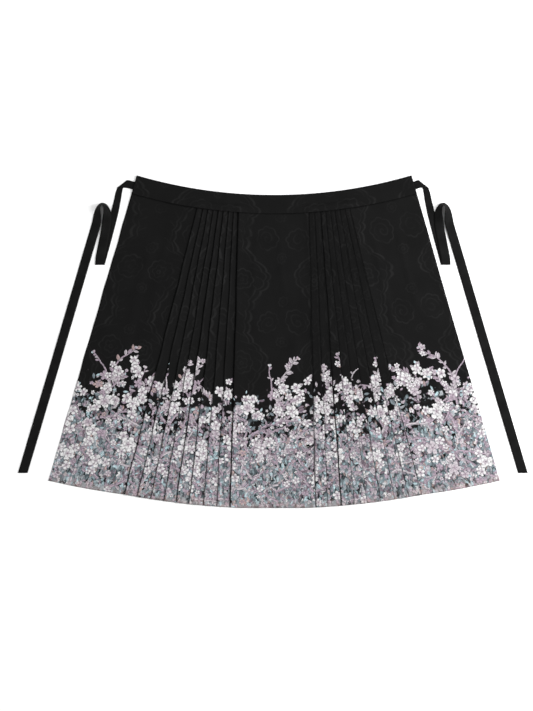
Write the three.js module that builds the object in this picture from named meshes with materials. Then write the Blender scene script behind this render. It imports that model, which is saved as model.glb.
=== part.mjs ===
import * as THREE from 'three';

// Pleated wrap skirt on one curved waistband, opened out and laid flat with its outer face up.
// Millimetres. X runs across the skirt, Y towards the waistband, Z up from the surface it lies on.

// Cloth, and the clearance from one layer to the next
const CLOTH = 1.05;
const GAP = 0.3;
const LAYER = CLOTH + GAP;

// The skirt fans out about a point above the middle of the waistband
const BAND_TOP_RADIUS = 1496;
const HEM_RADIUS = 2450;
const SIDE_HEM_RADIUS = 2463;
const SKIRT_LENGTH = HEM_RADIUS - BAND_TOP_RADIUS;
const SIDE_WAIST_ARC = 423.5;
const SIDE_HEM_ANGLE = 16.2;

// Waistband: a strip folded over the top of the cloth
const BAND_HEIGHT = 57;
const BAND_CLOTH = 1.2;
const BAND_CAVITY = 1.8;
const BAND_SHOULDER = 28;
const BAND_STACK = 45;
const BAND_CHORD = 42;
const CLOTH_TUCK = 10;

// Knife pleats. Each takes the same width of cloth, so it lies deeper at the waist than at the hem
const PLEAT_CLOTH = 52;
const PLEAT_RISE = 2 * LAYER;
const PLEAT_CLEARANCE = 3;

// Fold lines from the outer door inwards: arc from the middle along the waistband's top edge, the angle
// from the middle at the hem, and how far the line bows inwards half-way down
const LEFT_FOLDS = [
  { waist: 220, hem: 10.7, bow: 0 },
  { waist: 204, hem: 9.77, bow: 2.5 },
  { waist: 190, hem: 8.81, bow: 2.5 },
  { waist: 175.5, hem: 7.85, bow: 1 },
  { waist: 161, hem: 6.97, bow: 0 },
  { waist: 147.5, hem: 6.05, bow: 0 },
  { waist: 133.5, hem: 5.03, bow: 0 },
  { waist: 120, hem: 4.08, bow: 0 },
  { waist: 106.5, hem: 3.09, bow: 0 },
];
const RIGHT_FOLDS = [
  { waist: 216, hem: 10.55, bow: 4 },
  { waist: 203.5, hem: 9.6, bow: 5 },
  { waist: 189.5, hem: 8.58, bow: 4.5 },
  { waist: 176, hem: 7.58, bow: 4 },
  { waist: 164, hem: 6.63, bow: 2 },
  { waist: 150.5, hem: 5.69, bow: 0 },
  { waist: 136.5, hem: 4.75, bow: 0 },
  { waist: 120, hem: 3.82, bow: 0 },
  { waist: 103.5, hem: 2.97, bow: 0 },
];

// Door panels. The left cloth's centre door lies under the right cloth's, its own last fold set back
const UNDER_FOLD_SET_BACK = 3;
const UNDER_DOOR_EDGE = { waist: 76, hem: 2.65, bow: 0 };
const DOOR_SETTLE = 25;
const CLIMB_STARTS = 0.82;
const OUTER_DOOR_COLUMNS = [
  { share: 0, climb: 0 },
  { share: 0.27, climb: 0 },
  { share: 0.55, climb: 0 },
  { share: CLIMB_STARTS, climb: 0 },
  { share: 0.91, climb: 0.35 },
];
const CENTRE_DOOR_SHARES = [0.25, 0.5, 0.75];

// Distances below the waistband's top edge at which the cloth's section is worked out
const DROPS = [BAND_HEIGHT - CLOTH_TUCK, 59, 85, 120, 165, 225, 300, 390, 500, 630, 780, SKIRT_LENGTH];
const TUCK_LIFT = BAND_CLOTH + GAP;
const LIFT_ENDS = 120;

// Ties: a ribbon through stations, measured from the middle of the waistband's top edge on the left.
// across: direction from the outer edge to the inner edge; lean: how far the ribbon stands up on edge
const TIE_CLOTH = 1.2;
const TIE_STEP = TIE_CLOTH + GAP;
const TIE_RIGHT_SHIFT = 8;
const TIE_SHIFT_STARTS = 425;
const TIE_SHIFT_ENDS = 455;
const TIE_STUB = [
  { x: -410, y: 23, width: 23.4, across: -107 },
  { x: -425, y: 27, width: 23.6, across: -108 },
  { x: -442, y: 32, width: 25.5, across: -122 },
];
const TIE_CORNER = { x: -462.7, y: 33.4, width: 40, across: -142.6, inside: -52.6 };
const TIE_DOWN = [
  { x: -472, y: 11, width: 25.5, across: -148 },
  { x: -477, y: -16, width: 22.8, across: -168 },
  { x: -485, y: -53, width: 24, across: -173 },
  { x: -495, y: -90, width: 26, across: -174 },
  { x: -509, y: -140, width: 27.2, across: -176 },
  { x: -528, y: -206, width: 28.6, across: -180 },
];
const TIE_TURN = { x: -530, y: -213, width: 29.2, across: -180, inside: 90 };
const TIE_UP = [
  { x: -529, y: -190, width: 28.6, across: 178, lean: 0, rest: TIE_STEP },
  { x: -519, y: -139, width: 28.3, across: 175, lean: 0, rest: TIE_STEP },
  { x: -512, y: -102, width: 28, across: 174, lean: 3, rest: TIE_STEP },
  { x: -509, y: -79, width: 28, across: 176, lean: 12, rest: TIE_STEP },
  { x: -507, y: -58, width: 28, across: 184, lean: 33, rest: TIE_STEP },
  { x: -510, y: -42, width: 28, across: 205, lean: 54, rest: TIE_STEP },
  { x: -515, y: -32.5, width: 28, across: 236, lean: 66, rest: TIE_STEP },
  { x: -522, y: -28.5, width: 28, across: 270, lean: 71, rest: TIE_STEP },
  { x: -529, y: -32.5, width: 28, across: 304, lean: 66, rest: TIE_STEP },
  { x: -534.5, y: -43, width: 28, across: 334, lean: 54, rest: TIE_STEP },
  { x: -537, y: -60, width: 28, across: 352, lean: 33, rest: TIE_STEP },
  { x: -539.5, y: -82, width: 28, across: 350, lean: 12, rest: 0.8 },
  { x: -546.5, y: -108, width: 28, across: 344, lean: 3, rest: 0 },
  { x: -568, y: -180, width: 28, across: 343.6, lean: 0, rest: 0 },
  { x: -661, y: -496, width: 28, across: 343.6, lean: 0, rest: 0 },
  { x: -765, y: -846, width: 29.2, across: 360, lean: 0, rest: 0 },
];

const group = new THREE.Group();

function radians(degrees) {
  return THREE.MathUtils.degToRad(degrees);
}

function onFan(radius, angle) {
  return new THREE.Vector2(radius * Math.sin(angle), BAND_TOP_RADIUS - radius * Math.cos(angle));
}

// A line of the fan, from the waistband's top edge to the hem, on one side of the middle
function fanLine(row, side, hemRadius = HEM_RADIUS) {
  return {
    waist: side * row.waist / BAND_TOP_RADIUS,
    hem: side * radians(row.hem),
    bow: -side * row.bow,
    hemRadius,
  };
}

function mixLines(from, to, share) {
  return {
    waist: THREE.MathUtils.lerp(from.waist, to.waist, share),
    hem: THREE.MathUtils.lerp(from.hem, to.hem, share),
    bow: THREE.MathUtils.lerp(from.bow, to.bow, share),
    hemRadius: THREE.MathUtils.lerp(from.hemRadius, to.hemRadius, share),
  };
}

function pointOn(line, drop) {
  const share = drop / SKIRT_LENGTH;
  const point = onFan(BAND_TOP_RADIUS, line.waist).lerp(onFan(line.hemRadius, line.hem), share);
  point.x += line.bow * Math.sin(Math.PI * share);
  return point;
}

function alongHem(point, distance) {
  const angle = Math.atan2(point.x, BAND_TOP_RADIUS - point.y);
  return new THREE.Vector2(point.x + distance * Math.cos(angle), point.y + distance * Math.sin(angle));
}

function liftAt(drop) {
  return TUCK_LIFT * (1 - THREE.MathUtils.smoothstep(drop, DROPS[1], LIFT_ENDS));
}

// The two sides of the wall at one place of its section: face turns up on each visible layer
function pair(facePoint, faceHeight, backPoint, backHeight) {
  return {
    face: new THREE.Vector3(facePoint.x, facePoint.y, faceHeight),
    back: new THREE.Vector3(backPoint.x, backPoint.y, backHeight),
  };
}

function layerPair(point, height) {
  return pair(point, height + CLOTH, point, height);
}

// One half of the skirt: its fold lines, the way inwards along X, and its door panels
class SkirtHalf {
  constructor(rows, side) {
    this.folds = rows.map((row) => fanLine(row, side));
    this.edge = fanLine({ waist: SIDE_WAIST_ARC, hem: SIDE_HEM_ANGLE, bow: 0 }, side, SIDE_HEM_RADIUS);
    this.inward = -side;
  }

  last() {
    return this.folds.length;
  }

  // Line at a place counted in folds, which may lie between two folds or past the last one
  lineAt(place) {
    const last = this.last();
    if (place >= last) {
      return mixLines(this.folds[0], this.folds[last - 1], (place - 1) / (last - 1));
    }
    const before = Math.floor(place);
    return mixLines(this.folds[before - 1], this.folds[before], place - before);
  }

  spacing(drop) {
    const first = pointOn(this.folds[0], drop);
    return first.distanceTo(pointOn(this.folds[this.last() - 1], drop)) / (this.last() - 1);
  }

  // How far a hidden fold reaches under its neighbour, in fold spacings
  reach(drop) {
    return (PLEAT_CLOTH / this.spacing(drop) - 1) / 2;
  }

  peak(drop) {
    return PLEAT_RISE * (1 + this.reach(drop));
  }

  place(place, drop, shift = 0) {
    return alongHem(pointOn(this.lineAt(place), drop), this.inward * shift);
  }

  outerDoor(drop) {
    const under = PLEAT_RISE * this.reach(drop);
    return OUTER_DOOR_COLUMNS.map(({ share, climb }) => {
      const point = pointOn(mixLines(this.edge, this.folds[0], share), drop);
      return layerPair(point, climb * under);
    });
  }

  // Each pleat: under the line, hidden fold, back over itself, front fold, and on inwards
  pleats(drop) {
    const reach = this.reach(drop);
    const under = PLEAT_RISE * reach;
    const tilt = CLOTH * PLEAT_RISE / this.spacing(drop);
    const section = [];
    for (let fold = 1; fold <= this.last(); fold++) {
      const front = this.place(fold, drop);
      const frontInner = this.place(fold, drop, CLOTH);
      const hidden = this.place(fold + reach, drop);
      const hiddenInner = this.place(fold + reach, drop, -CLOTH);
      section.push(layerPair(front, under));
      section.push(pair(hiddenInner, CLOTH + tilt, hidden, 0));
      section.push({ ...pair(hiddenInner, LAYER + tilt, hidden, LAYER + CLOTH), turnedBack: true });
      section.push(pair(front, under + LAYER, frontInner, under + LAYER + CLOTH - tilt));
      section.push(pair(front, under + PLEAT_RISE + CLOTH, frontInner, under + PLEAT_RISE - tilt));
    }
    return section;
  }
}

const left = new SkirtHalf(LEFT_FOLDS, -1);
const right = new SkirtHalf(RIGHT_FOLDS, 1);
const topDoorEdge = left.folds[left.last() - 1];
left.folds[left.last() - 1] = {
  waist: topDoorEdge.waist + UNDER_FOLD_SET_BACK / BAND_TOP_RADIUS,
  hem: topDoorEdge.hem + UNDER_FOLD_SET_BACK / HEM_RADIUS,
  bow: topDoorEdge.bow,
  hemRadius: HEM_RADIUS,
};

function settled(half, drop) {
  return half.place(half.last() + half.reach(drop), drop, DOOR_SETTLE);
}

// The left cloth's centre door comes down off its pleats and lies on the surface
function underDoor(drop) {
  const start = settled(left, drop);
  const edge = pointOn(fanLine(UNDER_DOOR_EDGE, 1), drop);
  return [
    layerPair(left.place(left.last() + left.reach(drop), drop), PLEAT_RISE),
    layerPair(start, 0),
    ...CENTRE_DOOR_SHARES.map((share) => layerPair(start.clone().lerp(edge, share), 0)),
    layerPair(edge, 0),
  ];
}

// The right cloth's centre door lies on the under door and rises over the left pleats to its free edge
function topDoor(drop) {
  const start = settled(right, drop);
  const rise = settled(left, drop);
  return [
    layerPair(right.place(right.last() + right.reach(drop), drop), PLEAT_RISE),
    layerPair(start, LAYER),
    ...CENTRE_DOOR_SHARES.map((share) => layerPair(start.clone().lerp(rise, share), LAYER)),
    layerPair(rise, LAYER),
    layerPair(left.place(left.last() + left.reach(drop), drop), PLEAT_RISE + LAYER),
    layerPair(left.place(left.last(), drop), left.peak(drop) + LAYER),
    layerPair(pointOn(topDoorEdge, drop), left.peak(drop) + LAYER),
  ];
}

function clothSection(half, centreDoor, drop) {
  const lift = liftAt(drop);
  const section = [...half.outerDoor(drop), ...half.pleats(drop), ...centreDoor(drop)];
  for (const { face, back } of section) {
    face.z += lift;
    back.z += lift;
  }
  return section;
}

// Height of the inside of the waistband's front wall where it passes over the cloth
function bandStations() {
  const drop = DROPS[0];
  const lift = liftAt(drop) + CLOTH + GAP;
  const flat = BAND_CLOTH + BAND_CAVITY;
  const rows = [];
  const add = (point, height) => {
    rows.push({ angle: Math.atan2(point.x, BAND_TOP_RADIUS - point.y), height });
  };
  add(pointOn(left.edge, drop), flat);
  add(pointOn(mixLines(left.edge, left.folds[0], CLIMB_STARTS), drop), flat);
  add(left.place(1, drop, -PLEAT_CLEARANCE), lift + left.peak(drop));
  add(left.place(left.last() - 1, drop), lift + left.peak(drop));
  add(alongHem(pointOn(topDoorEdge, drop), -PLEAT_CLEARANCE), lift + left.peak(drop) + LAYER);
  add(left.place(left.last(), drop), lift + left.peak(drop) + LAYER);
  add(left.place(left.last() + left.reach(drop), drop), lift + PLEAT_RISE + LAYER);
  add(settled(left, drop), lift + LAYER);
  add(settled(right, drop), lift + LAYER);
  add(right.place(right.last() + right.reach(drop), drop), lift + PLEAT_RISE);
  add(right.place(right.last(), drop), lift + right.peak(drop));
  add(right.place(1, drop, -PLEAT_CLEARANCE), lift + right.peak(drop));
  add(pointOn(mixLines(right.edge, right.folds[0], CLIMB_STARTS), drop), flat);
  add(pointOn(right.edge, drop), flat);
  return rows;
}

// Folded strip: up its back, over the top edge and down its front, which steps out over the cloth
function bandSection({ angle, height }) {
  const fold = BAND_CLOTH + BAND_CAVITY;
  const at = (depth) => onFan(BAND_TOP_RADIUS + depth, angle);
  return [
    pair(at(BAND_HEIGHT), 0, at(BAND_HEIGHT), BAND_CLOTH),
    pair(at(0), 0, at(BAND_CLOTH), BAND_CLOTH),
    pair(at(0), fold + BAND_CLOTH, at(BAND_CLOTH), fold),
    pair(at(BAND_SHOULDER), fold + BAND_CLOTH, at(BAND_SHOULDER), fold),
    pair(at(BAND_STACK), height + BAND_CLOTH, at(BAND_STACK), height),
    pair(at(BAND_HEIGHT), height + BAND_CLOTH, at(BAND_HEIGHT), height),
  ];
}

function bandRows() {
  const stations = bandStations();
  const rows = [bandSection(stations[0])];
  for (let index = 1; index < stations.length; index++) {
    const from = stations[index - 1];
    const to = stations[index];
    const steps = Math.ceil((to.angle - from.angle) * BAND_TOP_RADIUS / BAND_CHORD);
    for (let step = 1; step <= steps; step++) {
      rows.push(bandSection({
        angle: THREE.MathUtils.lerp(from.angle, to.angle, step / steps),
        height: THREE.MathUtils.lerp(from.height, to.height, step / steps),
      }));
    }
  }
  return rows;
}

// Both edges of a flat ribbon at a station, with its face side at one height and its back at another
function ribbonEdges(station, faceHeight, backHeight, backShift = 0) {
  const half = station.width / 2;
  const across = radians(station.across);
  const inside = radians(station.inside ?? 0);
  return [-half, half].map((offset) => {
    const edge = new THREE.Vector2(
      station.x + offset * Math.cos(across),
      station.y + offset * Math.sin(across),
    );
    const shift = new THREE.Vector2(Math.cos(inside), Math.sin(inside)).multiplyScalar(backShift);
    return pair(edge, faceHeight, edge.clone().add(shift), backHeight);
  });
}

// The same at a station where the ribbon leans up on its outer edge
function leaningEdges({ x, y, width, across, lean, rest }) {
  const heading = radians(across);
  const tilt = radians(lean);
  const slope = new THREE.Vector3(
    Math.cos(tilt) * Math.cos(heading),
    Math.cos(tilt) * Math.sin(heading),
    Math.sin(tilt),
  );
  const normal = new THREE.Vector3(
    -Math.sin(tilt) * Math.cos(heading),
    -Math.sin(tilt) * Math.sin(heading),
    Math.cos(tilt),
  );
  const height = rest + (width * Math.sin(tilt) + TIE_CLOTH * Math.cos(tilt)) / 2;
  const centre = new THREE.Vector3(x, y, height);
  return [-width / 2, width / 2].map((offset) => {
    const edge = centre.clone().addScaledVector(slope, offset);
    return {
      face: edge.clone().addScaledVector(normal, TIE_CLOTH / 2),
      back: edge.clone().addScaledVector(normal, -TIE_CLOTH / 2),
    };
  });
}

function tieRows() {
  const upper = TIE_STEP + TIE_CLOTH;
  return [
    ...TIE_STUB.map((station) => ribbonEdges(station, upper, TIE_STEP)),
    ribbonEdges(TIE_CORNER, upper, TIE_STEP, TIE_CLOTH),
    ribbonEdges(TIE_CORNER, 0, TIE_CLOTH, TIE_CLOTH),
    ...TIE_DOWN.map((station) => ribbonEdges(station, 0, TIE_CLOTH)),
    ribbonEdges(TIE_TURN, 0, TIE_CLOTH, TIE_CLOTH),
    ribbonEdges(TIE_TURN, upper, TIE_STEP, TIE_CLOTH),
    ...TIE_UP.map(leaningEdges),
  ];
}

// The right tie mirrors the left one, but lies a little nearer to the skirt
function mirrored(rows) {
  const flip = (point) => {
    const share = THREE.MathUtils.smoothstep(-point.x, TIE_SHIFT_STARTS, TIE_SHIFT_ENDS);
    const shift = TIE_RIGHT_SHIFT * share;
    return new THREE.Vector3(-point.x - shift, point.y, point.z);
  };
  return rows.map((row) => row.map(({ face, back }) => ({ face: flip(face), back: flip(back) })));
}

// A closed wall through rows of pairs: both sides, both long edges and both ends
function wall(rows) {
  const columns = rows[0].length;
  const positions = [];
  const triangles = [];
  for (const row of rows) {
    for (const { face, back } of row) {
      positions.push(...face.toArray(), ...back.toArray());
    }
  }
  const vertex = (row, column, side) => 2 * (row * columns + column) + side;
  const quad = (a, b, c, d, turned) => {
    if (turned) {
      triangles.push(a, b, d, b, c, d);
    } else {
      triangles.push(a, b, c, a, c, d);
    }
  };
  for (let row = 0; row + 1 < rows.length; row++) {
    for (let column = 0; column + 1 < columns; column++) {
      const turned = Boolean(rows[row][column].turnedBack);
      const corners = (side) => [
        vertex(row, column, side),
        vertex(row, column + 1, side),
        vertex(row + 1, column + 1, side),
        vertex(row + 1, column, side),
      ];
      const [a, b, c, d] = corners(0);
      quad(a, b, c, d, turned);
      const [e, f, g, h] = corners(1);
      if (turned) {
        triangles.push(f, e, h, f, h, g);
      } else {
        triangles.push(e, g, f, e, h, g);
      }
    }
    const far = columns - 1;
    quad(vertex(row, 0, 1), vertex(row, 0, 0), vertex(row + 1, 0, 0), vertex(row + 1, 0, 1), false);
    quad(vertex(row, far, 0), vertex(row, far, 1), vertex(row + 1, far, 1), vertex(row + 1, far, 0), false);
  }
  const end = rows.length - 1;
  for (let column = 0; column + 1 < columns; column++) {
    quad(
      vertex(0, column, 1), vertex(0, column + 1, 1),
      vertex(0, column + 1, 0), vertex(0, column, 0), false,
    );
    quad(
      vertex(end, column, 0), vertex(end, column + 1, 0),
      vertex(end, column + 1, 1), vertex(end, column, 1), false,
    );
  }
  return facingOut(positions, triangles);
}

// Turns the triangles round where the walk along the rows leaves them facing in
function facingOut(positions, triangles) {
  const corner = (index) => new THREE.Vector3().fromArray(positions, 3 * index);
  let volume = 0;
  for (let index = 0; index < triangles.length; index += 3) {
    const [a, b, c] = triangles.slice(index, index + 3).map(corner);
    volume += a.dot(b.cross(c)) / 6;
  }
  if (volume < 0) {
    for (let index = 0; index < triangles.length; index += 3) {
      [triangles[index + 1], triangles[index + 2]] = [triangles[index + 2], triangles[index + 1]];
    }
  }
  const geometry = new THREE.BufferGeometry();
  geometry.setAttribute('position', new THREE.Float32BufferAttribute(positions, 3));
  geometry.setIndex(triangles);
  geometry.computeVertexNormals();
  return geometry;
}

function addPiece(name, rows, color, roughness) {
  const material = new THREE.MeshStandardMaterial({ color, roughness, metalness: 0 });
  const mesh = new THREE.Mesh(wall(rows), material);
  mesh.name = name;
  group.add(mesh);
}

addPiece('skirt_left', DROPS.map((drop) => clothSection(left, underDoor, drop)), 0x1c1b1d, 0.8);
addPiece('skirt_right', DROPS.map((drop) => clothSection(right, topDoor, drop)), 0x201f21, 0.8);
addPiece('waistband', bandRows(), 0x19181a, 0.75);
addPiece('tie_left', tieRows(), 0x141315, 0.7);
addPiece('tie_right', mirrored(tieRows()), 0x151416, 0.7);

// The origin is on the surface, under the middle of the whole piece
const box = new THREE.Box3().setFromObject(group);
const middle = box.getCenter(new THREE.Vector3());
group.position.set(-middle.x, -middle.y, -box.min.z);

export default group;
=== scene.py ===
"""A pleated wrap skirt with a blossom border, laid open and flat.

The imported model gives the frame: the pieces, their places and their body. This script dresses them. Each
piece of cloth is a thin shell on its solid's form, with its weave, print, turned edges, stitches and soft
creases. Lengths in the classes are in millimetres, measured from the middle of the waistband's top edge,
unless a name says otherwise.
"""
import logging
import math
import random
from dataclasses import dataclass, field
from enum import Enum
from functools import cache

import bpy
import numpy as np
from bpy.types import Material, Node, NodeSocket, NodeTree, Object
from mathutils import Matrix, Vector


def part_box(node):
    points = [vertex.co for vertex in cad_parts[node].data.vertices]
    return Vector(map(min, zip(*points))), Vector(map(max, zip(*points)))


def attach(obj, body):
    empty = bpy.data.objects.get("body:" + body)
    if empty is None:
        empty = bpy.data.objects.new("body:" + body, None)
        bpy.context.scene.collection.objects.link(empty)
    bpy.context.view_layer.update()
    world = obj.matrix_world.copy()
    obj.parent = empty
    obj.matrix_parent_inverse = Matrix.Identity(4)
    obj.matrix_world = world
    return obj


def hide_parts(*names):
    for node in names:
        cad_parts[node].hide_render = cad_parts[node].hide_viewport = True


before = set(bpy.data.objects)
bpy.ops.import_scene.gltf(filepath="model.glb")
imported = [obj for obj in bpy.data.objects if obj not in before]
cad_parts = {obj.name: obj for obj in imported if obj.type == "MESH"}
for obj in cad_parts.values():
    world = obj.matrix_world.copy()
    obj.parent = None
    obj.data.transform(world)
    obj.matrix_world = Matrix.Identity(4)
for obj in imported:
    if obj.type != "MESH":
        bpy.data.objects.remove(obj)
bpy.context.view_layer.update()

LOG = logging.getLogger("skirt")
MM = 0.001
BODY = "root"
FULL_TURN = 6.28  # radians, near enough for scattered leaves


class Side(Enum):
    """A side of the skirt, as the sign of X there."""

    LEFT = -1
    RIGHT = 1


class Kind(Enum):
    """The kinds of motif in the border print."""

    BLOSSOM = 1
    LEAF = 2
    TWIG = 3
    BUD = 4


def linear(colour: str) -> tuple[float, float, float, float]:
    """Turns an sRGB hex colour to linear light.

    Args:
        colour: six hex digits.
    Returns:
        Red, green, blue and an alpha of one.
    """
    parts = [int(colour[start:start + 2], 16) / 255 for start in (0, 2, 4)]
    light = [c / 12.92 if c <= 0.04045 else ((c + 0.055) / 1.055) ** 2.4 for c in parts]
    return (light[0], light[1], light[2], 1.0)


def add_node(tree: NodeTree, kind: str, settings: dict | None = None, inputs: dict | None = None) -> Node:
    """Adds a node with its settings and links.

    Args:
        tree: the node tree.
        kind: the node's type, without its "ShaderNode" prefix.
        settings: property names and values.
        inputs: input names or numbers, each with a value or with the output that feeds it.
    Returns:
        The node.
    """
    node = tree.nodes.new(kind if kind.startswith("Node") else "ShaderNode" + kind)
    for name, value in (settings or {}).items():
        setattr(node, name, value)
    for name, value in (inputs or {}).items():
        value = value.socket if isinstance(value, Signal) else value
        if isinstance(value, NodeSocket):
            tree.links.new(value, node.inputs[name])
        else:
            node.inputs[name].default_value = value
    return node


class Signal:
    """A number, vector or colour that a node gives, with ordinary arithmetic."""

    def __init__(self, tree: NodeTree, socket: NodeSocket) -> None:
        """Wraps one output of a node in a tree."""
        self.tree = tree
        self.socket = socket

    def calc(self, operation: str, *others: "Signal | float", clamp: bool = False) -> "Signal":
        """Works out a Math operation on this number.

        Args:
            operation: the name of the operation.
            others: its further inputs.
            clamp: whether the result is held between zero and one.
        Returns:
            The result.
        """
        inputs = dict(enumerate((self, *others)))
        settings = {"operation": operation, "use_clamp": clamp}
        return Signal(self.tree, add_node(self.tree, "Math", settings, inputs).outputs[0])

    def __add__(self, other: "Signal | float") -> "Signal":
        """Adds."""
        return self.calc("ADD", other)

    def __sub__(self, other: "Signal | float") -> "Signal":
        """Subtracts."""
        return self.calc("SUBTRACT", other)

    def __mul__(self, other: "Signal | float") -> "Signal":
        """Multiplies."""
        return self.calc("MULTIPLY", other)

    def size(self) -> "Signal":
        """Gives the distance from zero."""
        return self.calc("ABSOLUTE")

    def ramp(self, low: float, high: float) -> "Signal":
        """Goes from zero at one value to one at another, either of which may be the greater."""
        scale = 1.0 / (high - low)
        return self.calc("MULTIPLY_ADD", scale, -low * scale, clamp=True)

    def equals(self, value: float) -> "Signal":
        """Is one within a half of a value, and zero elsewhere."""
        return self.calc("COMPARE", value, 0.5)

    def parts(self) -> list["Signal"]:
        """Gives the three numbers of a vector or colour."""
        node = add_node(self.tree, "SeparateXYZ", None, {0: self})
        return [Signal(self.tree, output) for output in node.outputs]

    def mix(self, under: "Colour", over: "Colour") -> NodeSocket:
        """Lays one colour over another, this number being the share of the upper one.

        Args:
            under: the lower colour.
            over: the upper colour.
        Returns:
            The output with the mixed colour.
        """
        settings = {"data_type": "RGBA", "clamp_factor": True}
        return add_node(self.tree, "Mix", settings, {0: self, 6: under, 7: over}).outputs[2]

    @classmethod
    def stored(cls, tree: NodeTree, name: str) -> "Signal":
        """Reads the vector that the mesh holds under a name."""
        return cls(tree, add_node(tree, "Attribute", {"attribute_name": name}).outputs["Vector"])


# A colour is what a node gives, or fixed linear light.
Colour = NodeSocket | tuple[float, float, float, float]


def polar(x: Signal, y: Signal) -> tuple[Signal, Signal]:
    """Gives a place's distance and angle from the middle."""
    return (x * x + y * y).calc("SQRT"), y.calc("ARCTAN2", x)


def petals(angle: Signal, count: int) -> Signal:
    """Gives a wave round the middle, one along each petal and zero between two."""
    return (angle * (count / 2)).calc("COSINE").size()


@dataclass(frozen=True)
class Finish:
    """What a piece is made of and how its surface was made."""

    name: str

    def draw(self, tree: NodeTree) -> None:
        """Draws the surface in a material's node tree."""
        raise NotImplementedError

    def material(self) -> Material:
        """Makes the material.

        Returns:
            The material.
        """
        material = bpy.data.materials.new(self.name)
        material.use_nodes = True
        material.node_tree.nodes.clear()
        self.draw(material.node_tree)
        return material


def surface(tree: NodeTree, colour: Colour, roughness: Signal | float, specular: float,
            ribs: Signal | None = None, strength: float = 0.25, depth: float = 0.05) -> None:
    """Ends a material with its shader, over fine ribs where it has them.

    Args:
        tree: the node tree.
        colour: the output with the colour.
        roughness: the roughness.
        specular: how strongly the surface reflects.
        ribs: height of the ribs, or none.
        strength: how much of the ribs shows.
        depth: depth of the ribs in millimetres.
    """
    values = {"Base Color": colour, "Roughness": roughness, "IOR": 1.5, "Specular IOR Level": specular}
    if ribs:
        bump = add_node(tree, "Bump", None, {"Strength": strength, "Distance": depth * MM, "Height": ribs})
        values["Normal"] = bump.outputs[0]
    shader = add_node(tree, "BsdfPrincipled", None, values)
    add_node(tree, "OutputMaterial", None, {"Surface": shader.outputs[0]})


def put(name: str, data: bpy.types.ID) -> Object:
    """Puts a new object in the scene.

    Args:
        name: the object's name.
        data: its mesh, light or camera.
    Returns:
        The object.
    """
    thing = bpy.data.objects.new(name, data)
    bpy.context.scene.collection.objects.link(thing)
    return thing


def put_mesh(name: str, points: np.ndarray, faces: list, *materials: Material) -> Object:
    """Puts a new mesh in the scene.

    Args:
        name: the object's name.
        points: its points in the frame, in metres.
        faces: the corners of each face.
        materials: its materials.
    Returns:
        The object.
    """
    mesh = bpy.data.meshes.new(name)
    mesh.from_pydata(points.tolist(), [], faces)
    for material in materials:
        mesh.materials.append(material)
    return put(name, mesh)


def smooth(share: np.ndarray | float) -> np.ndarray | float:
    """Eases a share from zero to one in and out."""
    return share * share * (3 - 2 * share)


@dataclass(frozen=True)
class Twill:
    """Fine diagonal ribs of a twill, in millimetres of cloth.

    Real threads lie about 0.25 mm apart, which no render shows, so the ribs are drawn 1.1 mm apart.
    """

    pitch: float = 1.1
    slant: float = 0.62
    depth: float = 0.05

    def ribs(self, tree: NodeTree, across: Signal, along: Signal) -> Signal:
        """Gives the height of the ribs, from about -2 to 2.

        Args:
            tree: the node tree.
            across: place across the cloth.
            along: place along the cloth.
        Returns:
            The height.
        """
        turns = (across + along * self.slant) * (2 * math.pi / self.pitch)
        return turns.calc("SINE") + (cloth_noise(tree, 2.8571, 2.0) - 0.5) * 1.6


def cloth_noise(tree: NodeTree, lump: float, detail: float, output: int = 0) -> Signal:
    """Gives soft noise on the flat cloth.

    Args:
        tree: the node tree.
        lump: size of its lumps in millimetres of cloth.
        detail: octaves of finer noise.
        output: 0 for the noise as a number, 1 for it as a colour.
    Returns:
        The noise.
    """
    node = add_node(tree, "TexNoise", {"noise_dimensions": "2D"}, {
        "Vector": Signal.stored(tree, "cloth"), "Scale": 1 / lump, "Detail": detail})
    return Signal(tree, node.outputs[output])


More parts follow.
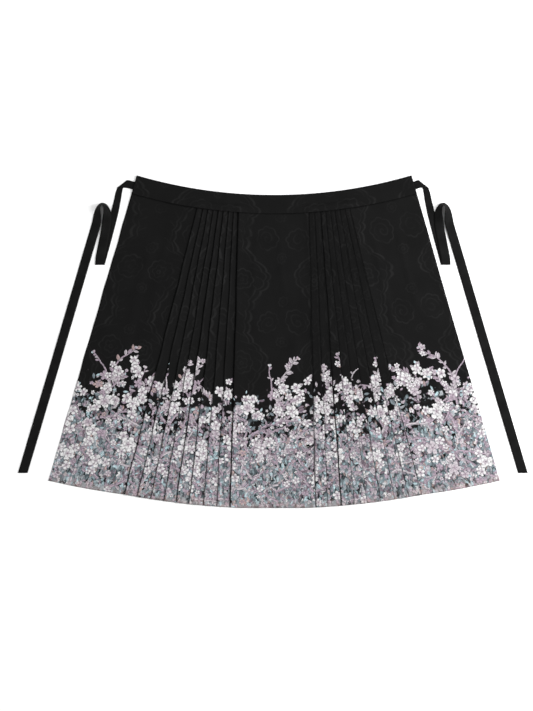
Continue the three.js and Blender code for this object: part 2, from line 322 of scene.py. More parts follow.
@dataclass(frozen=True)
class ScrollFigure:
    """The self-coloured figure of the jacquard: mirrored cloud-edged vines, curled medallions and rosettes.

    A satin figure on a twill ground of the same near-black yarn, so it shows only as slightly lighter,
    smoother lines. It is a common damask layout of this script's own.
    """

    half_width: float = 168.0
    height: float = 252.0
    vine_line: float = 4.6
    thin_line: float = 2.8
    sway: float = 26.0
    cloud: float = 9.0
    inner_gap: float = 13.0
    leaf_gap: float = 22.0
    medallion: float = 27.0
    curl_pitch: float = 15.0
    ring: float = 30.0
    crown: float = 13.0
    heart: float = 5.0
    rosette: float = 12.0

    @staticmethod
    def stroke(distance: Signal, width: float) -> Signal:
        """Draws a soft-edged line of a width where a distance is zero."""
        return distance.size().ramp(width, 0.4 * width)

    def vines(self, x: Signal, y: Signal) -> Signal:
        """Draws the two lines of the wavy vine, the outer one edged like clouds.

        Args:
            x: distance from the mirror line.
            y: height on the cloth.
        Returns:
            The strength of the lines.
        """
        turn = 2 * math.pi / self.height
        swing = (y * turn).calc("SINE") * (0.17 * self.half_width)
        swing = swing + (y * (2 * turn)).calc("ADD", 0.8).calc("SINE") * (0.045 * self.half_width)
        from_vine = x - swing - 0.5 * self.half_width
        cloud = (y * (4 * turn)).calc("SINE").size().calc("POWER", 0.7) * self.cloud
        outer = self.stroke(from_vine + cloud, self.vine_line)
        inner = self.stroke(from_vine + cloud * 0.8 - self.inner_gap, self.thin_line)
        leaf_wave = (y * (9 * turn)).calc("SINE") * self.cloud
        leaf = self.stroke(from_vine - leaf_wave - self.leaf_gap, self.thin_line)
        leaf = leaf * (y * (9 * turn)).calc("COSINE").ramp(-0.2, 0.3)
        return outer.calc("MAXIMUM", inner * 0.7).calc("MAXIMUM", leaf * 0.6)

    def medallions(self, x: Signal, y: Signal) -> Signal:
        """Draws the curls and flowers in the bays of the vine, each in a ring of petals.

        Args:
            x: distance from the mirror line.
            y: height on the cloth.
        Returns:
            The strength of the lines.
        """
        half = 0.5 * self.height
        cell = (y * (1 / half)).calc("FLOOR")
        odd = (cell * 0.5).calc("FRACT") * 2.0
        local_y = y - cell * half - 0.5 * half
        local_x = x - odd * (0.46 * self.half_width) - 0.27 * self.half_width
        radius, angle = polar(local_x, local_y)
        arm = angle * (1 / (2 * math.pi)) + radius * (1 / self.curl_pitch)
        curl = (arm.calc("FRACT") - 0.5).size().ramp(0.20, 0.07) * radius.ramp(self.medallion, 20.0)
        lobes = petals(angle, 8) * 5.0
        ring = self.stroke(radius - lobes - self.ring, self.thin_line)
        crown = petals(angle, 5) * 7.0
        flower = self.stroke(radius - crown - self.crown, self.thin_line)
        heart = self.stroke(radius - self.heart, self.thin_line)
        filled = curl * (odd * -1.0 + 1.0) + flower.calc("MAXIMUM", heart) * odd
        return (filled * 0.5).calc("MAXIMUM", ring * 0.75)

    def rosettes(self, x: Signal, y: Signal) -> Signal:
        """Draws the rosettes on the mirror lines.

        Args:
            x: distance from the mirror line.
            y: height on the cloth.
        Returns:
            The strength of the lines.
        """
        local_x = x.calc("PINGPONG", 0.5 * self.half_width)
        local_y = y.calc("PINGPONG", 0.25 * self.height)
        radius, angle = polar(local_x, local_y)
        edge = (radius - self.rosette - petals(angle, 8) * 4.0).size()
        ring = edge.calc("MINIMUM", (radius - self.heart).size()).ramp(self.thin_line, 0.4 * self.thin_line)
        on_mirror = x.ramp(0.3 * self.half_width, 0.2 * self.half_width)
        far_mirror = x.ramp(0.7 * self.half_width, 0.8 * self.half_width)
        return ring * on_mirror.calc("MAXIMUM", far_mirror) * 0.45

    def lines(self, tree: NodeTree, across: Signal, along: Signal) -> Signal:
        """Gives the figure's lines, one on them and zero off them.

        Args:
            tree: the node tree.
            across: place across the cloth.
            along: place along the cloth.
        Returns:
            The strength of the figure.
        """
        sway = (cloth_noise(tree, 100.0, 1.0) - 0.5) * self.sway
        x = (across + sway).calc("PINGPONG", self.half_width)
        y = along + sway
        drawn = self.vines(x, y).calc("MAXIMUM", self.medallions(x, y)).calc("MAXIMUM", self.rosettes(x, y))
        return drawn * (cloth_noise(tree, 41.667, 3.0).ramp(0.34, 0.60) * 0.8 + 0.2)


@dataclass(frozen=True)
class Palette:
    """Inks of the border print, as sRGB hex."""

    teal: str = "778489"
    deep_teal: str = "464e52"
    slate: str = "9ca0a4"
    cyan: str = "b0c8ce"
    cream: str = "d6d5d5"
    blush: str = "bdb5ba"
    mauve: str = "a696a2"
    plum: str = "73646e"
    salmon: str = "ad9693"
    outline: str = "29262b"


@dataclass(frozen=True)
class BorderInk:
    """Draws the motifs of the border print, and the small painted foliage on the ground under them."""

    layers: int = 8
    palette: Palette = Palette()
    reach: float = 352.0
    full_ground: float = 110.0
    foliage_cell: float = 9.0
    bend: float = 13.0
    wobble: float = 0.36
    stops: tuple[tuple[float, str], ...] = (
        (1.0, "cream"), (1.5, "blush"), (1.75, "mauve"), (1.9, "salmon"),
        (2.0, "blush"), (2.2, "mauve"), (2.45, "plum"), (2.6, "teal"), (2.78, "slate"), (2.9, "cyan"),
        (3.0, "mauve"), (3.6, "blush"), (3.85, "plum"),
        (4.0, "blush"), (4.35, "mauve"), (4.7, "cyan"), (4.86, "salmon"),
    )
    foliage: tuple[tuple[float, str], ...] = (
        (0.0, "deep_teal"), (0.20, "teal"), (0.50, "slate"), (0.62, "mauve"), (0.75, "plum"),
        (0.82, "cyan"), (0.89, "salmon"), (0.95, "cream"),
    )

    def ink_ramp(self, tree: NodeTree, place: Signal, stops: list[tuple[float, str]]) -> NodeSocket:
        """Picks an ink by a number from zero to one.

        Args:
            tree: the node tree.
            place: the number.
            stops: where each ink starts, in order.
        Returns:
            The output with the colour.
        """
        ramp = add_node(tree, "ValToRGB", None, {0: place})
        ramp.color_ramp.interpolation = "CONSTANT"
        while len(ramp.color_ramp.elements) < len(stops):
            ramp.color_ramp.elements.new(1.0)
        for element, (start, ink) in zip(ramp.color_ramp.elements, stops):
            element.position = start
            element.color = linear(getattr(self.palette, ink))
        return ramp.outputs[0]

    def motif_depth(self, x: Signal, y: Signal, kind: Signal) -> tuple[Signal, dict[Kind, Signal]]:
        """Works out how far inside its motif's edge a place lies, less than zero outside.

        Args:
            x: place along the motif, 1 at its tip.
            y: place across it.
            kind: number of its kind.
        Returns:
            The depth, and for each kind whether the motif is of it.
        """
        radius, angle = polar(x, y)
        petal = petals(angle, 5)
        notch = (angle * 5.0).calc("COSINE").ramp(0.86, 1.0)
        lobe = petal.calc("POWER", 0.75) * 0.6 + 0.42 - notch * 0.10
        depth = {
            Kind.BLOSSOM: lobe - radius,
            Kind.LEAF: (x * x) * -1.0 - y.size() + 1.0,
            Kind.TWIG: (x.size() * -8.0 + 8.0).calc("MINIMUM", y.size() * -1.0 + 1.0),
            Kind.BUD: radius * -1.0 + 1.0,
        }
        of_kind = {each: kind.equals(float(each.value)) for each in Kind}
        total = depth[Kind.BLOSSOM] * of_kind[Kind.BLOSSOM]
        for each in (Kind.LEAF, Kind.TWIG, Kind.BUD):
            total = total + depth[each] * of_kind[each]
        return total, of_kind

    def motif_group(self) -> NodeTree:
        """Makes the node group that draws one motif from its own coordinates and its code.

        Returns:
            The group, which gives a colour, a fill and a fill with its outline.
        """
        tree = bpy.data.node_groups.new("printed_motif", "ShaderNodeTree")
        tree.interface.new_socket("Place", in_out="INPUT", socket_type="NodeSocketVector")
        tree.interface.new_socket("Colour", in_out="OUTPUT", socket_type="NodeSocketColor")
        for name in ("Fill", "Edge"):
            tree.interface.new_socket(name, in_out="OUTPUT", socket_type="NodeSocketFloat")
        x, y, code = Signal(tree, add_node(tree, "NodeGroupInput").outputs[0]).parts()
        depth, of_kind = self.motif_depth(x, y, code.calc("FLOOR"))
        blossom = of_kind[Kind.BLOSSOM]
        margin = blossom * -0.15 + 0.24
        fill = (depth * 11.0).calc("ADD", 0.5, clamp=True)
        edge = ((depth + margin) * 8.0).calc("ADD", 0.5, clamp=True)

        radius, angle = polar(x, y)
        petal = petals(angle, 5)
        heart = radius.ramp(0.22, 0.10) * blossom
        blush = radius.ramp(0.74, 0.14) * blossom * 0.7
        seam = petal.ramp(0.50, 0.10) * radius.ramp(0.10, 0.3) * blossom * 0.85
        stamen = ((angle * 13.0).calc("COSINE").ramp(0.3, 0.9)
                  * radius.ramp(0.16, 0.24) * radius.ramp(0.56, 0.42) * blossom * 0.6)
        rib = y.size().ramp(0.20, 0.05) * of_kind[Kind.LEAF] * 0.6
        shade = y.ramp(-0.1, 0.1) * (of_kind[Kind.LEAF] + of_kind[Kind.TWIG]) * 0.3
        tip = (x * 0.7 + y * 0.7).ramp(0.0, 0.8) * of_kind[Kind.BUD] * 0.4

        colour = self.ink_ramp(tree, code * 0.2, [(start / 5.0, ink) for start, ink in self.stops])
        for share, ink in ((blush, "mauve"), (seam, "plum"), (stamen.calc("MAXIMUM", rib), "plum"),
                           (heart, "plum"), (shade, "outline"), (tip, "cream")):
            colour = share.mix(colour, linear(getattr(self.palette, ink)))
        add_node(tree, "NodeGroupOutput", None, {0: colour, 1: fill, 2: edge})
        return tree

    def ground(self, tree: NodeTree, base: Colour, height: Signal) -> tuple[Colour, Signal]:
        """Lays the painted foliage of the ground on the cloth: small ragged dabs, thinning out upwards.

        Args:
            tree: the node tree.
            base: the cloth's own colour.
            height: height above the hem.
        Returns:
            The output with the colour, and how much ink lies there.
        """
        bend = add_node(tree, "VectorMath", {"operation": "MULTIPLY_ADD"}, {
            0: cloth_noise(tree, 11.111, 2.0, 1), 1: (self.bend, self.bend, 0.0),
            2: Signal.stored(tree, "cloth")}).outputs[0]
        colour = base
        covered = None
        thinning = height.ramp(self.reach, self.full_ground)
        for turn, stretch, cell, share in ((0.7, 0.55, 1.0, 1.0), (-0.9, 0.5, 0.6, 0.55)):
            placed = add_node(tree, "Mapping", None, {
                0: bend, "Rotation": (0.0, 0.0, turn), "Scale": (1.0, stretch, 1.0)}).outputs[0]
            cells = add_node(tree, "TexVoronoi", {"voronoi_dimensions": "2D"}, {
                "Vector": placed, "Scale": 1.0 / (self.foliage_cell * cell), "Randomness": 1.0})
            pick = Signal(tree, cells.outputs["Color"]).parts()
            dab = Signal(tree, cells.outputs["Distance"]).ramp(0.62, 0.48)
            patch = cloth_noise(tree, 62.5 * cell, 3.0)
            kept = (pick[1] * 0.35 + patch + thinning * 0.62 - 0.98).ramp(0.0, 0.08)
            ink = self.ink_ramp(tree, pick[0], list(self.foliage))
            shown = dab * kept * share * height.ramp(self.reach + 12.0, self.reach - 24.0)
            colour = shown.mix(colour, ink)
            covered = shown if covered is None else covered.calc("MAXIMUM", shown)
        return colour, covered

    def colour(self, tree: NodeTree, base: Colour, height: Signal) -> tuple[Colour, Signal]:
        """Prints the border on the cloth.

        Args:
            tree: the node tree.
            base: the cloth's own colour.
            height: height above the hem.
        Returns:
            The output with the colour, and how much ink lies there.
        """
        group = self.motif_group()
        colour, inked = self.ground(tree, base, height)
        wobble = add_node(tree, "VectorMath", {"operation": "MULTIPLY_ADD"}, {
            0: cloth_noise(tree, 6.25, 2.0, 1), 1: (self.wobble, self.wobble, 0.0),
            2: (-0.5 * self.wobble, -0.5 * self.wobble, 0.0)}).outputs[0]
        broken = cloth_noise(tree, 10.0, 2.0).ramp(0.36, 0.60) * 0.5 + 0.3
        for layer in reversed(range(self.layers)):
            place = add_node(tree, "VectorMath", {"operation": "ADD"}, {
                0: Signal.stored(tree, f"motif_{layer}"), 1: wobble}).outputs[0]
            motif = add_node(tree, "Group", {"node_tree": group}, {0: place})
            fill = Signal(tree, motif.outputs[1])
            edge = Signal(tree, motif.outputs[2])
            colour = (edge * broken).mix(colour, linear(self.palette.outline))
            colour = fill.mix(colour, motif.outputs[0])
            inked = inked.calc("MAXIMUM", fill)
        grain = cloth_noise(tree, 5.2632, 3.0).ramp(0.56, 0.32) * inked * 0.42
        colour = grain.mix(colour, linear(self.palette.deep_teal))
        rosy = height.ramp(26.0, 3.0) * cloth_noise(tree, 33.333, 1.0).ramp(0.3, 0.6) * 0.38
        colour = rosy.mix(colour, linear(self.palette.salmon))
        return colour, inked


@dataclass(frozen=True)
class Jacquard(Finish):
    """Polyester jacquard in near-black, woven with a self-coloured figure and not printed.

    The twill ground scatters light softly, and the satin figure is a little lighter and smoother.
    """

    name: str = "polyester_jacquard"
    ground: str = "0d0d0d"
    figure: str = "1b1b1b"
    # Near-black colour of the painted shade along the folds and under the waistband.
    painted_shade_colour: str = "040404"
    specular: float = 0.05
    roughness: float = 0.76
    twill: Twill = Twill()
    scrolls: ScrollFigure = ScrollFigure()

    def woven(self, tree: NodeTree) -> tuple[Colour, Signal, Signal]:
        """Works out the woven cloth.

        Args:
            tree: the node tree.
        Returns:
            The output with the colour, the strength of the figure, and the height of the twill.
        """
        across, height, _ = Signal.stored(tree, "cloth").parts()
        figure = self.scrolls.lines(tree, across, height)
        uneven = cloth_noise(tree, 83.333, 4.0).ramp(0.30, 0.70)
        ribs = self.twill.ribs(tree, across, height) * (figure * -0.7 + 1.0)
        lighter = uneven * 0.14 + ribs.ramp(-1.4, 1.4) * 0.22
        ground = lighter.mix(linear(self.ground), linear(self.figure))
        colour = (figure * 0.9).mix(ground, linear(self.figure))
        return colour, figure, ribs

    def draw(self, tree: NodeTree) -> None:
        """Draws a piece cut from the plain part of the cloth.

        Args:
            tree: the node tree.
        """
        colour, figure, ribs = self.woven(tree)
        surface(tree, colour, figure * -0.16 + self.roughness, self.specular, ribs, depth=self.twill.depth)


@dataclass(frozen=True)
class PrintedJacquard(Jacquard):
    """The same jacquard with the border transfer-printed on its face.

    The ink dulls the figure. Beside and on the folds, and just under the waistband, painted shade darkens the
    cloth nearly to black, where shadow falls.
    """

    name: str = "printed_polyester_jacquard"
    ink: BorderInk = BorderInk()

    def painted_fold_shade(self, tree: NodeTree) -> Signal:
        """Works out the painted shade along the folds: the shadow in the crevice beside each fold, shade on
        each front fold's rounded edge, and the shadow under the waistband.

        Args:
            tree: the node tree.
        Returns:
            The strength of the painted shade.
        """
        under, beside, press = Signal.stored(tree, "fold").parts()
        ragged = (cloth_noise(tree, 22.222, 3.0) - 0.5) * 0.9
        # Painted shadow on the lower layer beside the fold that covers it, and just under the waistband.
        shadow = (under + ragged).ramp(1.0, 0.4)
        # Painted shade on the front fold's own rounded edge.
        edge = (beside + ragged).ramp(0.5, 0.15) * 0.5
        patchy = cloth_noise(tree, 47.619, 2.0).ramp(0.25, 0.7) * 0.4 + 0.3
        return shadow.calc("MAXIMUM", edge) * (patchy + press - 0.6)

    def ridge_highlights(self, tree: NodeTree) -> Signal:
        """Works out the painted highlight along the ridge of each front fold, broken along its length.

        Args:
            tree: the node tree.
        Returns:
            The strength of the painted highlight.
        """
        beside = Signal.stored(tree, "fold").parts()[1]
        broken = cloth_noise(tree, 33.333, 3.0).ramp(0.40, 0.62)
        return beside.ramp(0.4, 0.8) * beside.ramp(1.7, 1.1) * broken * 0.55

    def draw(self, tree: NodeTree) -> None:
        """Draws the skirt's face.

        Args:
            tree: the node tree.
        """
        _, height, _ = Signal.stored(tree, "cloth").parts()
        woven, figure, ribs = self.woven(tree)
        # Painted highlight along the ridges of the front folds.
        woven = self.ridge_highlights(tree).mix(woven, linear(self.figure))
        colour, inked = self.ink.colour(tree, woven, height)
        colour = (ribs.ramp(0.2, -1.6) * inked * 0.3).mix(colour, woven)
        # Painted shade along the folds and under the waistband.
        colour = self.painted_fold_shade(tree).mix(colour, linear(self.painted_shade_colour))
        roughness = figure * -0.16 + inked * 0.06 + self.roughness
        surface(tree, colour, roughness, self.specular, ribs, depth=self.twill.depth)


@dataclass(frozen=True)
class ClothReverse(Finish):
    """The unprinted reverse of the jacquard: duller, with a trace of the ink that came through."""

    name: str = "jacquard_reverse"
    ground: str = "1a191b"
    trace: str = "343238"

    def draw(self, tree: NodeTree) -> None:
        """Draws the skirt's reverse.

        Args:
            tree: the node tree.
        """
        across, height, _ = Signal.stored(tree, "cloth").parts()
        bloom = cloth_noise(tree, 35.714, 3.0).ramp(0.45, 0.62) * height.ramp(360.0, 180.0)
        colour = (bloom * 0.6).mix(linear(self.ground), linear(self.trace))
        surface(tree, colour, 0.86, 0.06, Twill().ribs(tree, across, height), 0.3, Twill.depth)


@dataclass(frozen=True)
class TieRibbon(Finish):
    """Near-black woven polyester ribbon of the ties: dull, with fine ribs across it.

    Its ribs are drawn wider apart than real ones, so that they show from near.
    """

    name: str = "woven_polyester_ribbon"
    ground: str = "0d0d0d"
    high: str = "161616"
    pitch: float = 1.2

    def draw(self, tree: NodeTree) -> None:
        """Draws the ribbon.

        Args:
            tree: the node tree.
        """
        along, across, _ = Signal.stored(tree, "cloth").parts()
        ribs = Twill(self.pitch, 0.0).ribs(tree, along, across)
        mottle = cloth_noise(tree, 33.333, 3.0).ramp(0.3, 0.7)
        colour = (mottle * 0.6 + ribs * 0.1).mix(linear(self.ground), linear(self.high))
        surface(tree, colour, 0.7, 0.05, ribs, 0.35, 0.06)


@dataclass(frozen=True)
class SewingThread(Finish):
    """Spun polyester thread, near-black and slightly glossier than the cloth."""

    name: str = "spun_polyester_thread"
    colour: str = "121213"
    high: str = "1e1e1f"
    ply: float = 0.698

    def draw(self, tree: NodeTree) -> None:
        """Draws the thread, with the twist of its plies.

        Args:
            tree: the node tree.
        """
        place = add_node(tree, "TexCoord").outputs["Object"]
        wave = add_node(tree, "TexWave", {"bands_direction": "DIAGONAL"}, {
            "Vector": place, "Scale": 2 * math.pi / (10 * self.ply * MM), "Distortion": 0.0})
        twist = Signal(tree, wave.outputs["Fac"])
        colour = (twist * 0.5).mix(linear(self.colour), linear(self.high))
        surface(tree, colour, 0.62, 0.1)


@dataclass(frozen=True)
class PaleFloor(Finish):
    """A matt white surface under soft light."""

    name: str = "matt_white_surface"
    colour: str = "f6f6f6"
    shade: str = "f0f0f0"

    def draw(self, tree: NodeTree) -> None:
        """Draws the floor, faintly uneven.

        Args:
            tree: the node tree.
        """
        noise = add_node(tree, "TexNoise", None, {"Scale": 3.0})
        share = Signal(tree, noise.outputs[0]) * 0.1
        colour = share.mix(linear(self.colour), linear(self.shade))
        surface(tree, colour, 0.9, 0.1)


@dataclass(frozen=True)
class Motif:
    """One motif of the print on the flat cloth: its kind, place, half sizes, turn and tint."""

    kind: Kind
    across: float
    height: float
    long: float
    wide: float
    turn: float
    tint: float
    rank: float


@dataclass
class BorderDesign:
    """Lays out the blossoms, leaves and twigs of the border on one length of cloth.

    The layout is drawn from seeded random numbers, apart from the places of the tall sprays.

    Attributes:
        start: place across the cloth where the border begins.
        stop: place across the cloth where it ends.
        sprays: places across the cloth of the tall sprays, with the heights of their tips.
        seed: start of the random draws.
        mass: usual height of the mass of blossoms.
        joint: length of a twig from one joint to the next.
        twig_room: width of cloth for each twig.
        cluster_room, blossom_room, speck_room: least distances between clusters, blossoms and specks.
        leaf_area: area of cloth for each loose leaf.
        motifs: what has been laid out.
    """

    start: float
    stop: float
    sprays: tuple[tuple[float, float], ...]
    seed: int
    mass: float = 336.0
    joint: float = 9.0
    twig_room: float = 10.0
    cluster_room: float = 82.0
    blossom_room: float = 48.0
    speck_room: float = 27.0
    leaf_area: float = 420.0
    motifs: list[Motif] = field(default_factory=list)

    def __post_init__(self) -> None:
        """Starts the random draws."""
        self.draw = random.Random(self.seed)

    def add(self, kind: Kind, across: float, height: float, long: float, wide: float,
            turn: float, tint: float, rank: float) -> None:
        """Adds one motif, the higher its rank the higher it lies."""
        self.motifs.append(Motif(kind, across, height, long, wide, turn, tint, rank))

    def top_of_mass(self, across: float) -> float:
        """Gives the height of the mass of blossoms, which rises and falls along the cloth."""
        slow = 21.0 * math.sin(across / 41.0 + self.seed) + 14.0 * math.sin(across / 17.3 + 2.1)
        return self.mass + slow

    def blossom(self, across: float, height: float, size: float, rank: float,
                mix: tuple[float, float, float, float] = (0.74, 0.14, 0.08, 0.04)) -> None:
        """Adds a blossom.

        Args:
            across: place of its middle across the cloth.
            height: height of its middle above the hem.
            size: its radius.
            rank: how high it lies in the print.
            mix: shares of cream, blush, mauve and salmon blossoms.
        """
        tint = self.draw.choices((0.2, 0.6, 0.8, 0.95), mix)[0]
        squash = self.draw.uniform(0.76, 1.0)
        turn = self.draw.uniform(0, 2 * math.pi)
        self.add(Kind.BLOSSOM, across, height, size, size * squash, turn, tint, rank)

    def leaf(self, across: float, height: float, turn: float, long: float, rank: float,
             tints: tuple[float, float] = (0.05, 0.98)) -> None:
        """Adds a leaf.

        Args:
            across: place of its foot across the cloth.
            height: height of its foot above the hem.
            turn: direction in which it points.
            long: half its length.
            rank: how high it lies in the print.
            tints: least and greatest tint.
        """
        wide = long * self.draw.uniform(0.36, 0.50)
        middle = (across + long * math.cos(turn), height + long * math.sin(turn))
        self.add(Kind.LEAF, *middle, long, wide, turn, self.draw.uniform(*tints), rank)

    def places(self, spacing: float, low: float, high: float, thinned: float) -> list[tuple[float, float]]:
        """Scatters places that keep their distance from each other.

        Args:
            spacing: least distance between two.
            low: lowest height.
            high: greatest height, as a part of the mass's.
            thinned: share of the places near the hem that are left out.
        Returns:
            The places.
        """
        placed: list[tuple[float, float]] = []
        for _ in range(int((self.stop - self.start) * self.mass / spacing ** 2 * 7)):
            across = self.draw.uniform(self.start, self.stop)
            height = self.draw.uniform(low, high * self.top_of_mass(across))
            if all((across - a) ** 2 + (height - h) ** 2 >= spacing ** 2 for a, h in placed):
                placed.append((across, height))
        return [place for place in placed
                if self.draw.random() > thinned * max(0.0, 1.0 - place[1] / 150.0)]

    def cluster(self, across: float, height: float) -> None:
        """Adds a large blossom with smaller ones and leaves about it.

        Args:
            across: place of its middle across the cloth.
            height: height of its middle above the hem.
        """
        draw = self.draw
        around = draw.uniform(0, FULL_TURN)
        size = draw.uniform(20.0, 27.0)
        self.blossom(across, height, size, 6.0 + draw.random(), (0.9, 0.1, 0.0, 0.0))
        self.blossom(across + draw.uniform(-2.0, 2.0), height + draw.uniform(-2.0, 2.0), 0.58 * size, 7.2,
                     (0.8, 0.2, 0.0, 0.0))
        count = draw.choice((3, 4, 5))
        for index in range(count):
            turn = around + 2.1 * index + draw.uniform(-0.4, 0.4)
            away = draw.uniform(27.0, 37.0)
            self.blossom(across + away * math.cos(turn), height + away * math.sin(turn),
                         draw.uniform(11.5, 16.5), 5.0 + draw.random(), (0.85, 0.12, 0.03, 0.0))
        for _ in range(6):
            turn = draw.uniform(0, FULL_TURN)
            self.leaf(across + 19.0 * math.cos(turn), height + 19.0 * math.sin(turn),
                      turn + draw.uniform(-0.5, 0.5), draw.uniform(7.5, 12.0), 4.6)

    def twig(self, across: float, height: float, turn: float, length: float, girth: float,
             rank: float, flowers: float, leaves: float, tints: tuple[float, float],
             stray: float, leafy: float) -> None:
        """Grows a bent twig with leaves, buds and blossoms.

        Args:
            across: place of its foot across the cloth.
            height: height of its foot above the hem.
            turn: direction in which it sets out.
            length: its length.
            girth: half its width at the foot.
            rank: how high it lies in the print.
            flowers: share of its joints that bear a blossom.
            leaves: half the length of its usual leaf, or zero for a bare twig.
            tints: least and greatest tint of its leaves.
            stray: how far it turns at a joint.
            leafy: share of its joints that bear a leaf on a side.
        """
        draw = self.draw
        joints = max(2, int(length / self.joint))
        bend = draw.uniform(-0.2, 0.2) * stray
        tint = draw.choice((0.1, 0.1, 0.7))
        for joint in range(joints):
            turn += bend + draw.uniform(-stray, stray)
            thin = girth * (1.0 - 0.5 * joint / joints) * draw.uniform(0.85, 1.1)
            half = self.joint / 2
            middle = (across + half * math.cos(turn), height + half * math.sin(turn))
            self.add(Kind.TWIG, *middle, half * 1.3, thin, turn, tint, rank)
            across += self.joint * math.cos(turn)
            height += self.joint * math.sin(turn)
            side = 1 if joint % 2 else -1
            for way in (side, -side):
                if leaves and draw.random() < leafy:
                    size = leaves * draw.uniform(0.75, 1.15)
                    self.leaf(across, height, turn + way * draw.uniform(0.6, 1.1), size, rank + 0.1, tints)
            if draw.random() < flowers:
                size = draw.uniform(7.0, 12.0)
                away = turn - side * 1.2
                self.blossom(across + size * math.cos(away), height + size * math.sin(away), size, rank + 0.4)
        for side in (-0.5, 0.0, 0.5):
            reach = draw.uniform(3.0, 7.0)
            self.add(Kind.BUD, across + reach * math.cos(turn + side), height + reach * math.sin(turn + side),
                     3.8, 2.9, turn + side, draw.uniform(0.0, 0.9), rank + 0.3)

    def spray(self, across: float, top: float) -> None:
        """Grows a tall spray from the mass, with blossoms at its foot and beside it.

        Args:
            across: its place across the cloth.
            top: height of its tip above the hem.
        """
        draw = self.draw
        foot = self.top_of_mass(across) - 46.0
        rise = top - foot
        up = math.pi / 2
        side = draw.choice((-1, 1))
        pale = (0.0, 0.3)
        for shift, low, lean, long, girth, rank, flowers, leaves, stray, leafy in (
            (0.0, 0.0, -0.12, 1.0, 3.2, 8.0, 0.245, 9.2, 0.21, 0.465),
            (-4.0, 0.3, 0.55, 0.5, 2.6, 7.9, 0.0, 6.0, 0.28, 0.225),
            (4.0, 0.1, -0.7, 0.45, 2.8, 7.8, 0.28, 8.0, 0.28, 0.45),
        ):
            self.twig(across + side * shift, foot + low * rise, up + side * lean, long * rise, girth, rank,
                      flowers, leaves, pale, stray, leafy)
        for shift, low, size, rank, mix in (
            (-13.0, 0.34, 15.0, 8.3, (0.2, 0.5, 0.3, 0.0)),
            (24.0, 0.46, 17.0, 8.6, (1.0, 0.0, 0.0, 0.0)),
            (6.0, 0.14, 16.0, 8.4, (0.6, 0.4, 0.0, 0.0)),
        ):
            self.blossom(across + side * shift, foot + low * rise, size, rank, mix)
        for _ in range(4):
            away = side * draw.uniform(34.0, 104.0)
            level = self.top_of_mass(across + away) + draw.uniform(-8.0, 46.0)
            self.blossom(across + away, level, draw.uniform(11.0, 17.0), 8.5, (0.9, 0.1, 0.0, 0.0))
            self.leaf(across + away, level, draw.uniform(0.3, 2.8), draw.uniform(9.0, 13.0), 8.2, pale)

    def draw_border(self) -> list[Motif]:
        """Lays out the whole border.

        Returns:
            The motifs, the highest first.
        """
        draw = self.draw
        width = self.stop - self.start
        for _ in range(int(width / self.twig_room)):
            turn = draw.choice((0.3, 0.6, 1.0, 2.1, 2.5, 2.9)) + draw.uniform(-0.2, 0.2)
            self.twig(draw.uniform(self.start, self.stop), draw.uniform(10.0, 0.72 * self.mass), turn,
                      draw.uniform(60.0, 150.0), draw.uniform(3.4, 4.6), draw.choice((3.2, 5.2)), 0.042, 6.8,
                      (0.0, 0.98), 0.315, 0.4125)
        for place in self.places(self.cluster_room, 60.0, 0.93, 0.6):
            self.cluster(*place)
        for across, height in self.places(self.blossom_room, 8.0, 1.0, 0.6):
            self.blossom(across, height, draw.uniform(10.0, 15.5), 4.0 + draw.random())
        for across, height in self.places(self.speck_room, 0.0, 1.05, 0.2):
            self.blossom(across, height, draw.uniform(4.0, 8.0), 2.6 + draw.random(), (0.45, 0.25, 0.2, 0.1))
        for _ in range(int(width * self.mass / self.leaf_area)):
            across = draw.uniform(self.start, self.stop)
            self.leaf(across, draw.uniform(-4.0, 1.05 * self.top_of_mass(across)), draw.uniform(0, FULL_TURN),
                      draw.uniform(5.0, 9.5), draw.uniform(1.0, 5.6))
        for across, top in self.sprays:
            self.spray(across, top)
        return sorted(self.motifs, key=lambda motif: -motif.rank)


@dataclass(frozen=True)
class FoldLine:
    """A fold line: where it leaves the band, its angle at the hem, its bow and how hard it is pressed."""

    waist: float
    hem: float
    bow: float = 0.0
    press: float = 0.6


@dataclass(frozen=True)
class Fan:
    """The skirt's plan: lines from the waistband's top edge to the hem about one centre."""

    band_radius: float = 1496.0
    hem_radius: float = 2450.0
    side_hem_radius: float = 2463.0
    side_waist_arc: float = 423.5
    side_hem_angle: float = 16.2

    @property
    def length(self) -> float:
        """Length from the waistband's top edge to the hem in the middle."""
        return self.hem_radius - self.band_radius

    def at(self, radius: np.ndarray | float, angle: np.ndarray | float) -> np.ndarray:
        """Gives the point at a radius and an angle from the middle."""
        return np.stack(np.broadcast_arrays(
            radius * np.sin(angle), self.band_radius - radius * np.cos(angle)), axis=-1)

    def line(self, fold: FoldLine, side: Side, hem_radius: float | None = None) -> np.ndarray:
        """Gives a line as four numbers.

        Args:
            fold: where it runs.
            side: the side of the skirt.
            hem_radius: radius at the hem, or none for the usual one.
        Returns:
            The waist angle, the hem angle, the hem radius, and the bow along X.
        """
        return np.array([side.value * fold.waist / self.band_radius, side.value * math.radians(fold.hem),
                         hem_radius or self.hem_radius, -side.value * fold.bow])

    def on_line(self, line: np.ndarray, drop: np.ndarray) -> np.ndarray:
        """Gives the points of a line at distances below the waistband's top edge.

        Args:
            line: the line's four numbers, or rows of them.
            drop: the distances.
        Returns:
            The points on the plan.
        """
        share = (drop / self.length)[:, None]
        waist = self.at(self.band_radius, line[..., 0])
        hem = self.at(line[..., 2], line[..., 1])
        bow = np.reshape(line[..., 3], (-1, 1)) * np.sin(math.pi * share)
        return waist + (hem - waist) * share + np.concatenate([bow, np.zeros_like(bow)], axis=1)

    def along_hem(self, points: np.ndarray, distance: float | np.ndarray) -> np.ndarray:
        """Moves points along the arc through them."""
        angle = np.arctan2(points[:, 0], self.band_radius - points[:, 1])
        return points + np.stack([np.cos(angle), np.sin(angle)], axis=1) * np.reshape(distance, (-1, 1))


